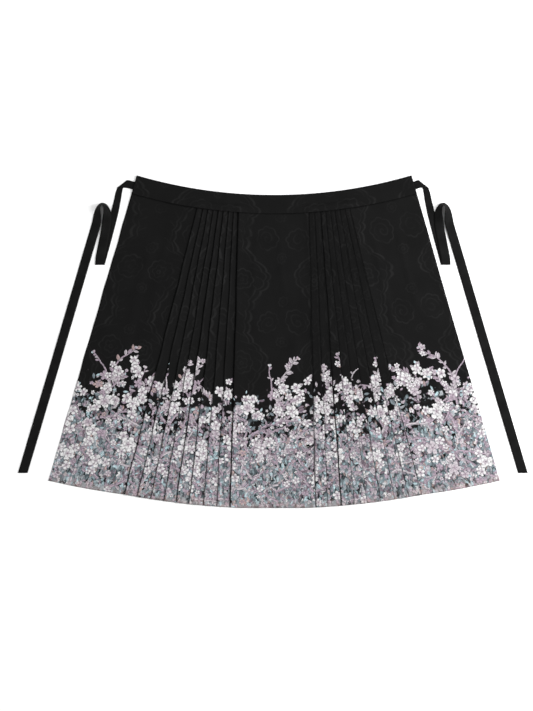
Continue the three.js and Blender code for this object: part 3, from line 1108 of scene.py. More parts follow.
@dataclass(frozen=True)
class Crease:
    """A soft ridge left by folding or handling, from one place to another."""

    x0: float
    y0: float
    x1: float
    y1: float
    width: float
    rise: float
    curve: float = 0.035
    fading: float = 0.25

    def height(self, points: np.ndarray) -> np.ndarray:
        """Gives how far the ridge lifts the cloth.

        Args:
            points: the points.
        Returns:
            The lift at each.
        """
        start = np.array([self.x0, self.y0])
        run = np.array([self.x1, self.y1]) - start
        length = float(np.hypot(*run))
        offset = points - start
        share = (offset @ run) / length ** 2
        bow = self.curve * length * np.sin(np.clip(share, 0, 1) * math.pi)
        side = (offset[..., 0] * run[1] - offset[..., 1] * run[0]) / length - bow
        fade = np.clip(share / self.fading, 0, 1) * np.clip((1 - share) / self.fading, 0, 1)
        return self.rise * np.exp(-(side / self.width) ** 2) * smooth(fade)


CREASES = tuple(Crease(*row) for row in (
    (-352, -90, -470, -640, 15, 2.0),
    (-300, -60, -378, -420, 11, 1.5),
    (-520, -420, -600, -820, 18, 1.8),
    (-405, -520, -450, -860, 12, 1.4),
    (-46, -80, -58, -430, 13, 1.6),
    (22, -60, 36, -330, 10, 1.3),
    (70, -380, 84, -800, 16, 1.7),
    (-70, -560, -96, -900, 14, 1.5),
    (8, -600, 2, -930, 12, 1.2),
    (300, -70, 392, -480, 13, 1.8),
    (372, -60, 452, -380, 10, 1.3),
    (470, -430, 566, -800, 18, 2.0),
    (560, -560, 626, -840, 12, 1.3),
    (410, -600, 448, -880, 14, 1.4),
))


class Shell:
    """A thin closed wall over a grid of centre points."""

    def __init__(self, name: str, centres: np.ndarray, cloth: np.ndarray,
                 thickness: np.ndarray | float, facing: int) -> None:
        """Works out the face and the back of the wall.

        Args:
            name: the piece's name.
            centres: rows by columns by three, in millimetres.
            cloth: rows by columns by two, the same points on the flat cloth.
            thickness: the wall's thickness, one number or rows by columns.
            facing: 1 where the face lies left of the columns' run seen along the rows, else -1.
        """
        self.name = name
        self.rows, self.columns = centres.shape[:2]
        self.cloth = cloth
        self.facing = facing
        normal = np.cross(self.run(centres, 0), self.run(centres, 1)) * facing
        normal /= np.maximum(np.linalg.norm(normal, axis=2, keepdims=True), 1e-9)
        half = (np.broadcast_to(thickness, centres.shape[:2]) / 2)[..., None]
        self.normal = normal
        self.face = centres + normal * half
        self.back = centres - normal * half

    @staticmethod
    def run(points: np.ndarray, axis: int) -> np.ndarray:
        """Gives the direction of the grid along one of its axes.

        Args:
            points: rows by columns by three.
            axis: 0 for along the columns' length, 1 for along the rows'.
        Returns:
            The directions, not of unit length.
        """
        step = np.diff(points, axis=axis)
        step = step / np.maximum(np.linalg.norm(step, axis=2, keepdims=True), 1e-9)
        first = np.take(step, [0], axis=axis)
        last = np.take(step, [-1], axis=axis)
        return np.concatenate([first, step], axis=axis) + np.concatenate([step, last], axis=axis)

    def faces(self) -> np.ndarray:
        """Gives the wall's faces: its face side, its back and its rim.

        Returns:
            The corners of each face.
        """
        index = np.arange(self.rows * self.columns).reshape(self.rows, self.columns)
        quads = np.stack([index[:-1, :-1], index[1:, :-1], index[1:, 1:], index[:-1, 1:]], axis=-1)
        quads = quads.reshape(-1, 4)
        behind = self.rows * self.columns
        rim = np.concatenate([index[:, 0], index[-1, 1:], index[-2::-1, -1], index[0, -2:0:-1]])
        after = np.roll(rim, -1)
        edge = np.stack([rim, rim + behind, after + behind, after], axis=-1)
        every = [quads, quads[:, ::-1] + behind, edge]
        if self.facing < 0:
            every = [part[:, ::-1] for part in every]
        return np.concatenate(every)

    def build(self, face: Material, back: Material) -> Object:
        """Makes the object, with its place on the flat cloth stored on its points.

        Args:
            face: material of the face side and the rim.
            back: material of the back.
        Returns:
            The object.
        """
        points = np.concatenate([self.face.reshape(-1, 3), self.back.reshape(-1, 3)])
        piece = put_mesh(self.name, to_frame(points), self.faces().tolist(), face, back)
        mesh = piece.data
        quads = (self.rows - 1) * (self.columns - 1)
        slots = np.zeros(len(mesh.polygons), np.int32)
        slots[quads:2 * quads] = 1
        mesh.polygons.foreach_set("material_index", slots)
        mesh.polygons.foreach_set("use_smooth", np.ones(len(mesh.polygons), bool))
        flat = np.zeros((len(points), 3), np.float32)
        flat[:, :2] = np.tile(self.cloth.reshape(-1, 2), (2, 1))
        mesh.attributes.new("cloth", "FLOAT_VECTOR", "POINT").data.foreach_set("vector", flat.ravel())
        mesh.update()
        return piece


@cache
def origin() -> tuple[float, float]:
    """Works out where the garment's own middle lies in the frame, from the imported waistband.

    Returns:
        The place of the middle of the waistband's top edge, in metres.
    """
    fan = Fan()
    low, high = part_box("waistband")
    corner = fan.band_radius * (1 - math.cos(fan.side_waist_arc / fan.band_radius)) * MM
    return (low[0] + high[0]) / 2, high[1] - corner


def to_frame(points: np.ndarray) -> np.ndarray:
    """Turns garment points in millimetres to points of the frame in metres."""
    return points * MM + np.array([*origin(), 0.0])


class Printer:
    """Stores on each face of a cloth which motifs cross it, and where the face lies in them."""

    EMPTY = (9.0, 9.0, 4.5)  # a place outside a bud, so nothing is drawn
    OUTLINE = 0.3  # room for a motif's outline, in half sizes of the motif

    def __init__(self, layers: int, cell: float) -> None:
        """Sets the number of motifs that a face can hold, and the half size of a face."""
        self.layers = layers
        self.cell = cell

    def stamp(self, piece: Object, shell: Shell, motifs: list[Motif]) -> int:
        """Stamps the motifs on the face side of a shell.

        Args:
            piece: the object.
            shell: the shell that it was made from.
            motifs: the motifs, the highest first.
        Returns:
            The number of motifs that found no room on some face.
        """
        cloth = shell.cloth
        corners = np.stack([cloth[:-1, :-1], cloth[1:, :-1], cloth[1:, 1:], cloth[:-1, 1:]], axis=2)
        corners = corners.reshape(-1, 4, 2)
        if shell.facing < 0:
            corners = corners[:, ::-1]
        middles = corners.mean(axis=1)
        total = len(piece.data.loops)
        stored = np.tile(np.array(self.EMPTY, np.float32), (self.layers, total, 1))
        count = np.zeros(len(middles), int)
        missed = 0
        for motif in motifs:
            place = np.array([motif.across, motif.height])
            reach = motif.long + motif.wide + self.cell
            near = np.nonzero(np.all(np.abs(middles - place) < reach, axis=1))[0]
            if len(near) == 0:
                continue
            cos, sin = math.cos(motif.turn), math.sin(motif.turn)
            turn = np.array([[cos / motif.long, -sin / motif.wide], [sin / motif.long, cos / motif.wide]])
            local = (corners[near] - place) @ turn
            middle = np.abs((middles[near] - place) @ turn)
            margin = np.abs(turn).sum(axis=0) * self.cell + self.OUTLINE
            inside = np.all(middle < 1.0 + margin, axis=1)
            room = count[near] < self.layers
            missed += int(np.any(inside & ~room))
            chosen = near[inside & room]
            values = np.concatenate([
                local[inside & room],
                np.full((len(chosen), 4, 1), motif.kind.value + motif.tint),
            ], axis=2)
            for layer in range(self.layers):
                here = count[chosen] == layer
                loops = (chosen[here, None] * 4 + np.arange(4)).ravel()
                stored[layer, loops] = values[here].reshape(-1, 3)
            count[chosen] += 1
        for layer in range(self.layers):
            held = piece.data.attributes.new(f"motif_{layer}", "FLOAT_VECTOR", "CORNER")
            held.data.foreach_set("vector", stored[layer].ravel())
        return missed


# A column of a cloth: its plan points and its centre heights.
Column = tuple[np.ndarray, np.ndarray | float]


@dataclass
class SkirtHalf:
    """One continuous cloth of the skirt: outer door, nine knife pleats and a centre door.

    Attributes:
        name: the piece's name.
        node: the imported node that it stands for.
        side: the side of the skirt.
        rows: fold lines from the outer door inwards.
        sprays: places across the cloth of the tall sprays, with the heights of their tips.
        seed: start of the border's random draws.
        figure_start: place across the cloth of a mirror line of the woven figure.
        over: the half whose centre door this one's lies on, or none.
    """

    name: str
    node: str
    side: Side
    rows: tuple[FoldLine, ...]
    sprays: tuple[tuple[float, float], ...]
    seed: int
    figure_start: float
    over: "SkirtHalf | None" = None
    fan: Fan = Fan()
    cad_cloth: float = 1.05
    layer: float = 1.35
    pleat_cloth: float = 52.0
    cloth_thickness: float = 0.55
    hem_turn: float = 14.0
    hem_fold: float = 0.28
    hem_step: float = 1.5
    hem_row: float = 12.0
    overrun: float = 20.0
    climb_starts: float = 0.82
    settle: float = 25.0
    set_back: float = 3.0
    under_edge: FoldLine = FoldLine(76.0, 2.65)
    tuck_rows: tuple[float, ...] = (47.0, 50.0, 54.0, 58.0, 62.0, 67.0)
    plain_rows: tuple[float, float, int] = (73.0, 440.0, 38)
    print_start: float = 445.0
    print_rows: int = 103
    door_columns: int = 44
    centre_columns: int = 30
    roll: tuple[int, ...] = (-90, -30, 30, 90)
    pleat_parts: tuple[float, ...] = (0.07, 0.15, 0.26, 0.40, 0.54, 0.68, 0.82, 0.93)
    free_starts: float = 70.0
    free_ends: float = 190.0
    tuck_lift: float = 1.5
    lift_starts: float = 59.0
    lift_ends: float = 120.0
    lip: float = 1.5
    lip_fade: float = 0.22
    dip: float = 0.4
    dip_fade: float = 0.14
    line_width: float = 4.6
    far: float = 9.0
    band_height: float = 57.0

    def __post_init__(self) -> None:
        """Works out the fold lines and the distances down the cloth."""
        self.folds = [self.fan.line(row, self.side) for row in self.rows]
        self.free_edge = self.folds[-1].copy()
        if self.side is Side.LEFT:
            self.folds[-1] = self.folds[-1] + np.array(
                [self.set_back / self.fan.band_radius, self.set_back / self.fan.hem_radius, 0.0, 0.0])
        self.edge = self.fan.line(FoldLine(self.fan.side_waist_arc, self.fan.side_hem_angle), self.side,
                                  self.fan.side_hem_radius)
        printed = np.linspace(self.print_start, self.fan.length, self.print_rows)
        self.drop = np.concatenate([self.tuck_rows, np.linspace(*self.plain_rows), printed])
        self.free = np.clip((self.drop - self.free_starts) / (self.free_ends - self.free_starts), 0, 1)
        self.last = len(self.folds)
        self.rise = 2 * self.layer
        across = self.fan.on_line(self.folds[0], self.drop) - self.fan.on_line(self.folds[-1], self.drop)
        self.spacing = np.linalg.norm(across, axis=1) / (self.last - 1)
        self.reach = (self.pleat_cloth / self.spacing - 1) / 2
        self.marks: dict[str, list[int]] = {"visible": [], "fold": [], "front": []}

    def line_at(self, place: np.ndarray) -> np.ndarray:
        """Gives the line at places counted in folds, between two folds or past the last.

        Args:
            place: the places.
        Returns:
            The four numbers of the line at each.
        """
        lines = np.array(self.folds)
        beyond = self.folds[0] + (self.folds[-1] - self.folds[0]) * ((place - 1) / (self.last - 1))[:, None]
        before = np.clip(np.floor(place).astype(int), 1, self.last - 1)
        share = (place - before)[:, None]
        between = lines[before - 1] * (1 - share) + lines[before] * share
        return np.where((place >= self.last)[:, None], beyond, between)

    def spot(self, place: np.ndarray | float, shift: np.ndarray | float = 0.0) -> np.ndarray:
        """Gives plan points at a place counted in folds, shifted inwards."""
        places = np.broadcast_to(np.asarray(place, float), self.drop.shape)
        return self.fan.along_hem(self.fan.on_line(self.line_at(places), self.drop), -self.side.value * shift)

    def settled(self) -> np.ndarray:
        """Gives the plan points where the centre door has come down off the pleats."""
        return self.spot(self.last + self.reach, self.settle)

    def fold_lip(self, fold: int) -> np.ndarray:
        """Gives how far a front fold stands up off its pleat, unevenly down the cloth.

        Args:
            fold: number of the fold line.
        Returns:
            The height at each distance down.
        """
        if self.over is None and fold == self.last:
            return np.zeros_like(self.drop)
        # Two waves of unlike length keep the lip from looking regular.
        waves = np.sin(self.drop / 71.0 + 1.7 * fold) * np.sin(self.drop / 33.0 + 2.3 * fold)
        return self.lip * self.rows[fold - 1].press * (0.75 + 0.4 * waves) * self.free

    def pleat(self, fold: int, columns: list[Column]) -> None:
        """Adds the hidden part of a pleat and its front fold to the columns.

        Args:
            fold: number of the fold line.
            columns: the columns so far.
        """
        slope = self.rise / self.spacing
        under = self.rise * self.reach
        radius = self.layer / 2
        inset = radius + self.cloth_thickness / 2
        self.marks["fold"].append(len(columns))
        for part in (0.0, 0.5):
            shift = -inset * part
            columns.append((self.spot(fold + self.reach * part, shift), under * (1 - part) - slope * shift))
        for turn in self.roll:
            angle = math.radians(turn)
            shift = -inset + radius * math.cos(angle)
            height = slope * inset + radius * (1 + math.sin(angle))
            columns.append((self.spot(fold + self.reach, shift), height))
        columns.append((self.spot(fold + self.reach / 2), under / 2 + self.layer))
        self.marks["front"].append(len(columns))
        front = (self.layer + self.fold_lip(fold)) / 2
        edge = front + self.cloth_thickness / 2
        for turn in self.roll:
            angle = math.radians(turn)
            height = under + self.layer - slope * edge + front * (1 + math.sin(angle))
            columns.append((self.spot(fold, edge - front * math.cos(angle)), height))

    def visible_part(self, fold: int, part: float) -> Column:
        """Gives a column on the visible side of a pleat, a part of the way to the next fold line.

        Args:
            fold: number of the fold line.
            part: the part of the way.
        Returns:
            The column.
        """
        lip = self.fold_lip(fold) * math.exp(-(part / self.lip_fade) ** 2)
        dip = self.dip * math.exp(-((1 - part) / self.dip_fade) ** 2) * self.free
        return self.spot(fold + part), self.rise * (1 + self.reach - part) + lip - dip

    def show(self, columns: list[Column], *column: np.ndarray) -> None:
        """Adds a column of the cloth that shows from the front."""
        self.marks["visible"].append(len(columns))
        columns.append(column)

    def section(self) -> list[Column]:
        """Gives the columns of the cloth.

        Returns:
            The columns from the side edge inwards.
        """
        columns: list[Column] = []
        for share in np.linspace(0, 1, self.door_columns, endpoint=False):
            line = self.edge + (self.folds[0] - self.edge) * share
            climb = max(0.0, (share - self.climb_starts) / (1 - self.climb_starts)) ** 1.5
            self.show(columns, self.fan.on_line(line, self.drop), climb * self.rise * self.reach)
        for fold in range(1, self.last + 1):
            self.pleat(fold, columns)
            if fold < self.last:
                for part in self.pleat_parts:
                    self.show(columns, *self.visible_part(fold, part))
        peak = self.rise * (1 + self.reach)
        for part in (0.1, 0.35, 0.7, 1.0):
            lip = self.fold_lip(self.last) * math.exp(-(part / self.lip_fade) ** 2)
            height = peak - self.rise * self.reach * part + lip
            self.show(columns, self.spot(self.last + self.reach * part), height)
        columns.extend(self.centre_door())
        return columns

    def centre_door(self) -> list[Column]:
        """Gives the columns of the centre door, from the pleats to its free edge.

        Returns:
            The columns.
        """
        start = self.settled()
        level = np.zeros_like(self.drop)
        base = level if self.over is None else level + self.layer
        columns = []
        for part in (0.3, 0.6, 1.0):
            columns.append((self.spot(self.last + self.reach, self.settle * part),
                            self.rise + (base - self.rise) * smooth(part)))
        if self.over is None:
            edge = self.fan.on_line(self.fan.line(self.under_edge, Side.RIGHT), self.drop)
            for share in np.linspace(0, 1, self.centre_columns)[1:]:
                columns.append((start + (edge - start) * share, base))
            return columns
        under = self.over
        landing = under.settled()
        for share in np.linspace(0, 1, self.centre_columns)[1:]:
            columns.append((start + (landing - start) * share, base))
        for part in (0.7, 0.4, 0.0):
            columns.append((under.spot(under.last + under.reach, under.settle * part),
                            base + under.rise * (1 - smooth(part))))
        peak = under.rise * (1 + under.reach)
        for part in (0.75, 0.5, 0.25, 0.0):
            columns.append((under.spot(under.last + under.reach * part),
                            base + peak - under.rise * under.reach * part))
        columns.append((self.fan.on_line(under.free_edge, self.drop), base + peak))
        return columns

    def flat_cloth(self, centres: np.ndarray) -> np.ndarray:
        """Measures the cloth: across from the figure's mirror line, and up from the hem.

        Args:
            centres: the grid of centre points.
        Returns:
            The same points on the flat cloth.
        """
        across = np.linalg.norm(np.diff(centres, axis=1), axis=2)
        across = np.concatenate([np.zeros((len(across), 1)), np.cumsum(across, axis=1)], axis=1)
        first = self.marks["fold"][0]
        across = across - across[:, first:first + 1] - self.figure_start
        down = np.linalg.norm(np.diff(centres, axis=0), axis=2)
        down = np.concatenate([np.zeros((1, down.shape[1])), np.cumsum(down, axis=0)], axis=0)
        return np.stack([across, down[-1] - down], axis=-1)

    def fold_distances(self, plan: np.ndarray) -> np.ndarray:
        """Gives each point's distance from the fold that covers it and from its own front fold.

        Args:
            plan: the grid of plan points.
        Returns:
            The two distances in line widths, and how hard the fold is pressed.
        """
        out = np.full(plan.shape[:2] + (3,), self.far, np.float32)
        out[..., 2] = FoldLine.press
        starts = self.marks["fold"] + [plan.shape[1]]
        previous = 0
        for fold, (start, front, after) in enumerate(zip(starts, self.marks["front"], starts[1:]), 1):
            line = self.spot(float(fold))[:, None]
            press = self.rows[fold - 1].press
            width = self.line_width * (0.4 + 0.6 * press)
            covered = self.set_back if self.over is None and fold == self.last else 0.0
            apart = np.linalg.norm(plan - line, axis=2)
            out[:, previous:start, 0] = (np.maximum(apart - covered, 0) / width)[:, previous:start]
            out[:, (previous + start) // 2:(front + after) // 2, 2] = press
            out[:, start:front, 0] = 0
            out[:, front:after, 1] = (apart / width)[:, front:after]
            out[:, front:front + len(self.roll) - 1, 1] = 0
            previous = front + len(self.roll)
        # The first distance also counts down from the waistband's lower edge, where a painted shadow runs
        # under the band.
        seam = np.maximum(self.drop - self.band_height, 0) / self.line_width
        out[..., 0] = np.minimum(out[..., 0], seam[:, None])
        return out

    def grid(self) -> tuple[np.ndarray, np.ndarray, np.ndarray]:
        """Lays out the whole cloth, with its creases.

        Returns:
            The centre points, the same on the flat cloth, and the fold distances.
        """
        columns = self.section()
        plan = np.stack([column[0] for column in columns], axis=1)
        height = np.stack([column[1] for column in columns], axis=1)
        ease = np.clip((self.drop - self.lift_starts) / (self.lift_ends - self.lift_starts), 0, 1)
        lift = self.tuck_lift * (1 - smooth(ease))
        height = height + lift[:, None] + self.cad_cloth / 2
        flat = self.flat_cloth(np.concatenate([plan, height[..., None]], axis=2))
        folds = self.fold_distances(plan)
        free = self.free[:, None]
        x, y = plan[..., 0], plan[..., 1]
        # Long, shallow ripples over the whole cloth, lower than half a millimetre each way.
        soft = (1 + np.sin(x / 37.0 + y / 210.0) * np.sin(y / 83.0 + x / 190.0 + 1.3)) * 0.45
        soft += (1 + np.sin(x / 19.0 - y / 60.0 + 0.7)) * 0.16
        for crease in CREASES:
            soft = soft + crease.height(plan)
        # The folds waver sideways by about a millimetre.
        waver = 0.7 * np.sin(y / 61.0 + x / 23.0) + 0.45 * np.sin(y / 27.0 + x / 11.0)
        plan = plan + np.stack([waver * free, np.zeros_like(waver)], axis=-1)
        centres = np.concatenate([plan, (height + soft * free)[..., None]], axis=2)
        return centres, flat, folds

    def build(self, face: Material, back: Material, printer: Printer) -> tuple[Object, Shell]:
        """Builds and prints the cloth.

        Args:
            face: material of the face.
            back: material of the reverse.
            printer: stamps the border.
        Returns:
            The object and its shell.
        """
        centres, flat, folds = self.grid()
        hem = np.clip((self.hem_turn - flat[..., 1]) / self.hem_step, 0, 1)
        sides = np.minimum(np.abs(flat[..., 0] - flat[:, :1, 0]), np.abs(flat[..., 0] - flat[:, -1:, 0]))
        turned = np.maximum(hem, np.clip((self.hem_turn - sides) / self.hem_step, 0, 1))
        thickness = self.cloth_thickness + self.hem_fold * turned
        shell = Shell(self.name, centres, flat, thickness, -self.side.value)
        piece = shell.build(face, back)
        # The fold distances place the painted shade along the folds and under the waistband, and the painted
        # highlight on the fold ridges.
        held = piece.data.attributes.new("fold", "FLOAT_VECTOR", "POINT")
        held.data.foreach_set("vector", np.tile(folds.reshape(-1, 3), (2, 1)).ravel())
        start, stop = float(flat[-1, 0, 0]) - self.overrun, float(flat[-1, -1, 0]) + self.overrun
        shifted = tuple((across - self.figure_start, top) for across, top in self.sprays)
        motifs = BorderDesign(start, stop, shifted, self.seed).draw_border()
        missed = printer.stamp(piece, shell, motifs)
        LOG.info("%s: %d motifs, %d of them cut short somewhere", self.name, len(motifs), missed)
        return piece, shell


@dataclass
class Waistband:
    """The folded strip over the tops of both cloths: back, rounded top edge, front.

    Attributes:
        left: the left cloth.
        right: the right cloth.
    """

    left: SkirtHalf
    right: SkirtHalf
    fan: Fan = Fan()
    height: float = 57.0
    cad_cloth: float = 1.2
    cavity: float = 1.8
    shoulder: float = 28.0
    stack: float = 45.0
    gap: float = 0.3
    clearance: float = 3.0
    thickness: float = 0.95
    steps: int = 210
    back_depths: tuple[float, ...] = (45.0, 33.0, 21.0, 9.0)
    top_turns: tuple[int, ...] = (-90, -60, -30, 0, 30, 60, 90)
    front_depths: tuple[float, ...] = (7.0, 12.0, 18.0, 24.0)

    def stations(self) -> tuple[np.ndarray, np.ndarray]:
        """Gives angles along the band and the height of its front there.

        Returns:
            The angles, and the height of the inside of the front wall.
        """
        left, right, fan = self.left, self.right, self.fan
        lift = left.tuck_lift + left.cad_cloth + self.gap
        flat = self.cad_cloth + self.cavity
        peak_left = lift + left.rise * (1 + left.reach[0])
        peak_right = lift + right.rise * (1 + right.reach[0])
        ramp = left.climb_starts
        door_left = left.edge + (left.folds[0] - left.edge) * ramp
        door_right = right.edge + (right.folds[0] - right.edge) * ramp
        free = fan.along_hem(fan.on_line(left.free_edge, left.drop), -self.clearance)
        rows = [
            (fan.on_line(left.edge, left.drop), flat),
            (fan.on_line(door_left, left.drop), flat),
            (left.spot(1.0, -self.clearance), peak_left),
            (left.spot(left.last - 1.0), peak_left),
            (free, peak_left + left.layer),
            (left.spot(float(left.last)), peak_left + left.layer),
            (left.spot(left.last + left.reach), lift + left.rise + left.layer),
            (left.settled(), lift + left.layer),
            (right.settled(), lift + left.layer),
            (right.spot(right.last + right.reach), lift + right.rise),
            (right.spot(float(right.last)), peak_right),
            (right.spot(1.0, -self.clearance), peak_right),
            (fan.on_line(door_right, right.drop), flat),
            (fan.on_line(right.edge, right.drop), flat),
        ]
        angles = np.array([math.atan2(p[0, 0], fan.band_radius - p[0, 1]) for p, _ in rows])
        return angles, np.array([height for _, height in rows])

    def profile(self, height: float) -> list[tuple[float, float]]:
        """Gives the band's section as depths below the top edge and centre heights.

        Args:
            height: inside height of the front wall over the cloth.
        Returns:
            Points from the back's lower edge, over the top, to the front's lower edge.
        """
        half = self.cad_cloth / 2
        fold = self.cad_cloth + self.cavity + half
        radius = (fold - half) / 2
        points = [(depth, half) for depth in (self.height, *self.back_depths)]
        for turn in self.top_turns:
            angle = math.radians(turn)
            points.append((radius + half - radius * math.cos(angle), half + radius * (1 + math.sin(angle))))
        over = height + half
        for depth in (*self.front_depths, *np.arange(self.shoulder, self.height - 1.0, 3.0), self.height):
            share = min(1.0, max(0.0, (depth - self.shoulder) / (self.stack - self.shoulder)))
            points.append((depth, fold + (over - fold) * smooth(share)))
        return points

    def build(self, material: Material) -> tuple[Object, Shell]:
        """Builds the band.

        Args:
            material: the band's cloth.
        Returns:
            The object and its shell.
        """
        angles, heights = self.stations()
        along = np.linspace(angles[0], angles[-1], self.steps)
        inside = np.interp(along, angles, heights)
        back = 1 + len(self.back_depths)
        front, top = back + len(self.top_turns), back + len(self.top_turns) // 2
        rows = []
        flat = []
        for angle, height in zip(along, inside):
            arc = angle * self.fan.band_radius
            points = self.profile(float(height))
            ripple = 0.22 * math.sin(arc / 13.0) + 0.18 * math.sin(arc / 5.7 + 1.0) + 0.4
            row = []
            for index, (depth, level) in enumerate(points):
                x, y = self.fan.at(self.fan.band_radius + depth, angle)
                row.append((x, y, level + (ripple * min(1.0, depth / 30.0) if index >= front else 0.0)))
            rows.append(row)
            flat.append([(arc, depth if index <= top else -depth) for index, (depth, _) in enumerate(points)])
        centres = np.array(rows)
        shell = Shell("waistband_cloth", centres, np.array(flat), self.thickness, 1)
        return shell.build(material, material), shell


@dataclass
class Tie:
    """A ribbon tie: out of the band's end, folded down, up again over a standing loop, and away.

    Attributes:
        name: the piece's name.
        side: the side of the skirt.
        selvage: width of the thicker edges.
        curved: how many stretches of the last part are curved, before the straight ones.
        right_shift: how far the right tie lies nearer the skirt than the left one's mirror image.
        stub, down: stations out of the band's end and down, each a place, a width and a direction across.
        corner, turn: the same for the two folds, with the way inside.
        up: the same over the loop and away, with the lean and the height of the resting edge.
    """

    name: str
    side: Side
    cloth: float = 1.2
    gap: float = 0.3
    thickness: float = 0.8
    width: float = 28.0
    columns: int = 7
    selvage: float = 3.5
    step: float = 6.0
    most_steps: int = 36
    curved: int = 12
    wave_starts: float = 420.0
    wave_ends: float = 500.0
    right_shift: float = 8.0
    shift_starts: float = 425.0
    shift_ends: float = 455.0
    stub: tuple[tuple[float, ...], ...] = (
        (-410, 23, 23.4, -107), (-417, 25, 23.5, -107), (-425, 27, 23.6, -108),
        (-433, 29.5, 24.3, -113), (-442, 32, 25.5, -122), (-452, 33.5, 31, -133),
    )
    corner: tuple[float, ...] = (-462.7, 33.4, 40, -142.6, -52.6)
    down: tuple[tuple[float, ...], ...] = (
        (-468, 22, 31, -144), (-472, 11, 25.5, -150), (-474.5, -2, 23, -160),
        (-477, -16, 22.8, -168), (-485, -53, 24, -173),
        (-495, -90, 26, -174), (-509, -140, 27.2, -176), (-528, -206, 28.6, -180),
    )
    turn: tuple[float, ...] = (-530, -213, 29.2, -180, 90)
    up: tuple[tuple[float, ...], ...] = (
        (-529, -190, 28.6, 178, 0, 1.5), (-519, -139, 28.3, 175, 0, 1.5),
        (-512, -102, 28, 174, 3, 1.5), (-509, -79, 28, 176, 12, 1.5),
        (-507, -58, 28, 184, 33, 1.5), (-510, -42, 28, 205, 54, 1.5),
        (-515, -32.5, 28, 236, 66, 1.5), (-522, -28.5, 28, 270, 71, 1.5),
        (-529, -32.5, 28, 304, 66, 1.5), (-534.5, -43, 28, 334, 54, 1.5),
        (-537, -60, 28, 352, 33, 1.5), (-539.5, -82, 28, 350, 12, 0.8),
        (-546.5, -108, 28, 344, 3, 0), (-568, -180, 28, 343.6, 0, 0),
        (-661, -496, 28, 343.6, 0, 0), (-765, -846, 29.2, 360, 0, 0),
    )

    def offsets(self, width: float) -> np.ndarray:
        """Gives the places of the columns across the ribbon."""
        return np.linspace(-0.5, 0.5, self.columns) * width

    def flat_row(self, station: tuple[float, ...], level: float, inset: float = 0.0) -> np.ndarray:
        """Gives the centre points across the ribbon at a flat station.

        Args:
            station: place, width and direction across, with the way inside at a fold.
            level: centre height.
            inset: how far the centre line lies inside the fold.
        Returns:
            Points from the outer edge to the inner edge.
        """
        x, y, width, across = station[:4]
        heading = math.radians(across)
        inside = math.radians(station[4]) if len(station) > 4 else 0.0
        offsets = self.offsets(width)
        return np.stack([
            x + offsets * math.cos(heading) + inset * math.cos(inside),
            y + offsets * math.sin(heading) + inset * math.sin(inside),
            np.full(self.columns, level),
        ], axis=1)

    def fold_rows(self, station: tuple[float, ...], start: float, stop: float) -> list[np.ndarray]:
        """Gives the rows of a rounded fold.

        Args:
            station: place, width and directions of the fold.
            start: centre height before it.
            stop: centre height after it.
        Returns:
            The rows.
        """
        radius = abs(stop - start) / 2
        sign = 1 if stop > start else -1
        rows = []
        for turn in (-90, -45, 0, 45, 90):
            angle = math.radians(turn)
            inset = radius + self.thickness / 2 - radius * math.cos(angle)
            rows.append(self.flat_row(station, start + sign * radius * (1 + math.sin(angle)), inset))
        return rows

    def leaning_row(self, station: np.ndarray) -> np.ndarray:
        """Gives the centre points across the ribbon where it leans up on its outer edge.

        Args:
            station: place, width, direction across, lean in degrees and height of the resting edge.
        Returns:
            Points from the outer edge to the inner edge.
        """
        x, y, width, across, lean, rest = station
        heading, tilt = math.radians(across), math.radians(lean)
        middle = rest + (width * math.sin(tilt) + self.cloth * math.cos(tilt)) / 2
        offsets = self.offsets(width)
        cup = 0.35 * (1 - (offsets / (width / 2)) ** 2) * min(1.0, 0.25 + lean / 40)
        return np.stack([
            x + offsets * math.cos(tilt) * math.cos(heading),
            y + offsets * math.cos(tilt) * math.sin(heading),
            middle + offsets * math.sin(tilt) + cup,
        ], axis=1)

    def smooth_up(self) -> np.ndarray:
        """Fills in the stations of the last stretch along a smooth curve.

        Returns:
            The stations, one in each row.
        """
        stations = np.array(self.up, float)
        rows = []
        before, after = stations[:1] * 2 - stations[1:2], stations[-1:] * 2 - stations[-2:-1]
        padded = np.concatenate([before, stations, after])
        for index in range(1, len(padded) - 2):
            p0, p1, p2, p3 = padded[index - 1:index + 3]
            length = float(np.hypot(*(p2 - p1)[:2]))
            steps = max(2, min(self.most_steps, int(length / self.step)))
            for step in range(steps):
                t = step / steps
                if index > self.curved:
                    rows.append(p1 + (p2 - p1) * t)
                else:
                    rows.append(0.5 * (2 * p1 + (p2 - p0) * t + (2 * p0 - 5 * p1 + 4 * p2 - p3) * t * t
                                       + (3 * p1 - p0 - 3 * p2 + p3) * t ** 3))
        rows.append(stations[-1])
        out = np.array(rows)
        out[:, 4] = np.maximum(out[:, 4], 0)
        out[:, 5] = np.clip(out[:, 5], 0, 1.5)
        return out

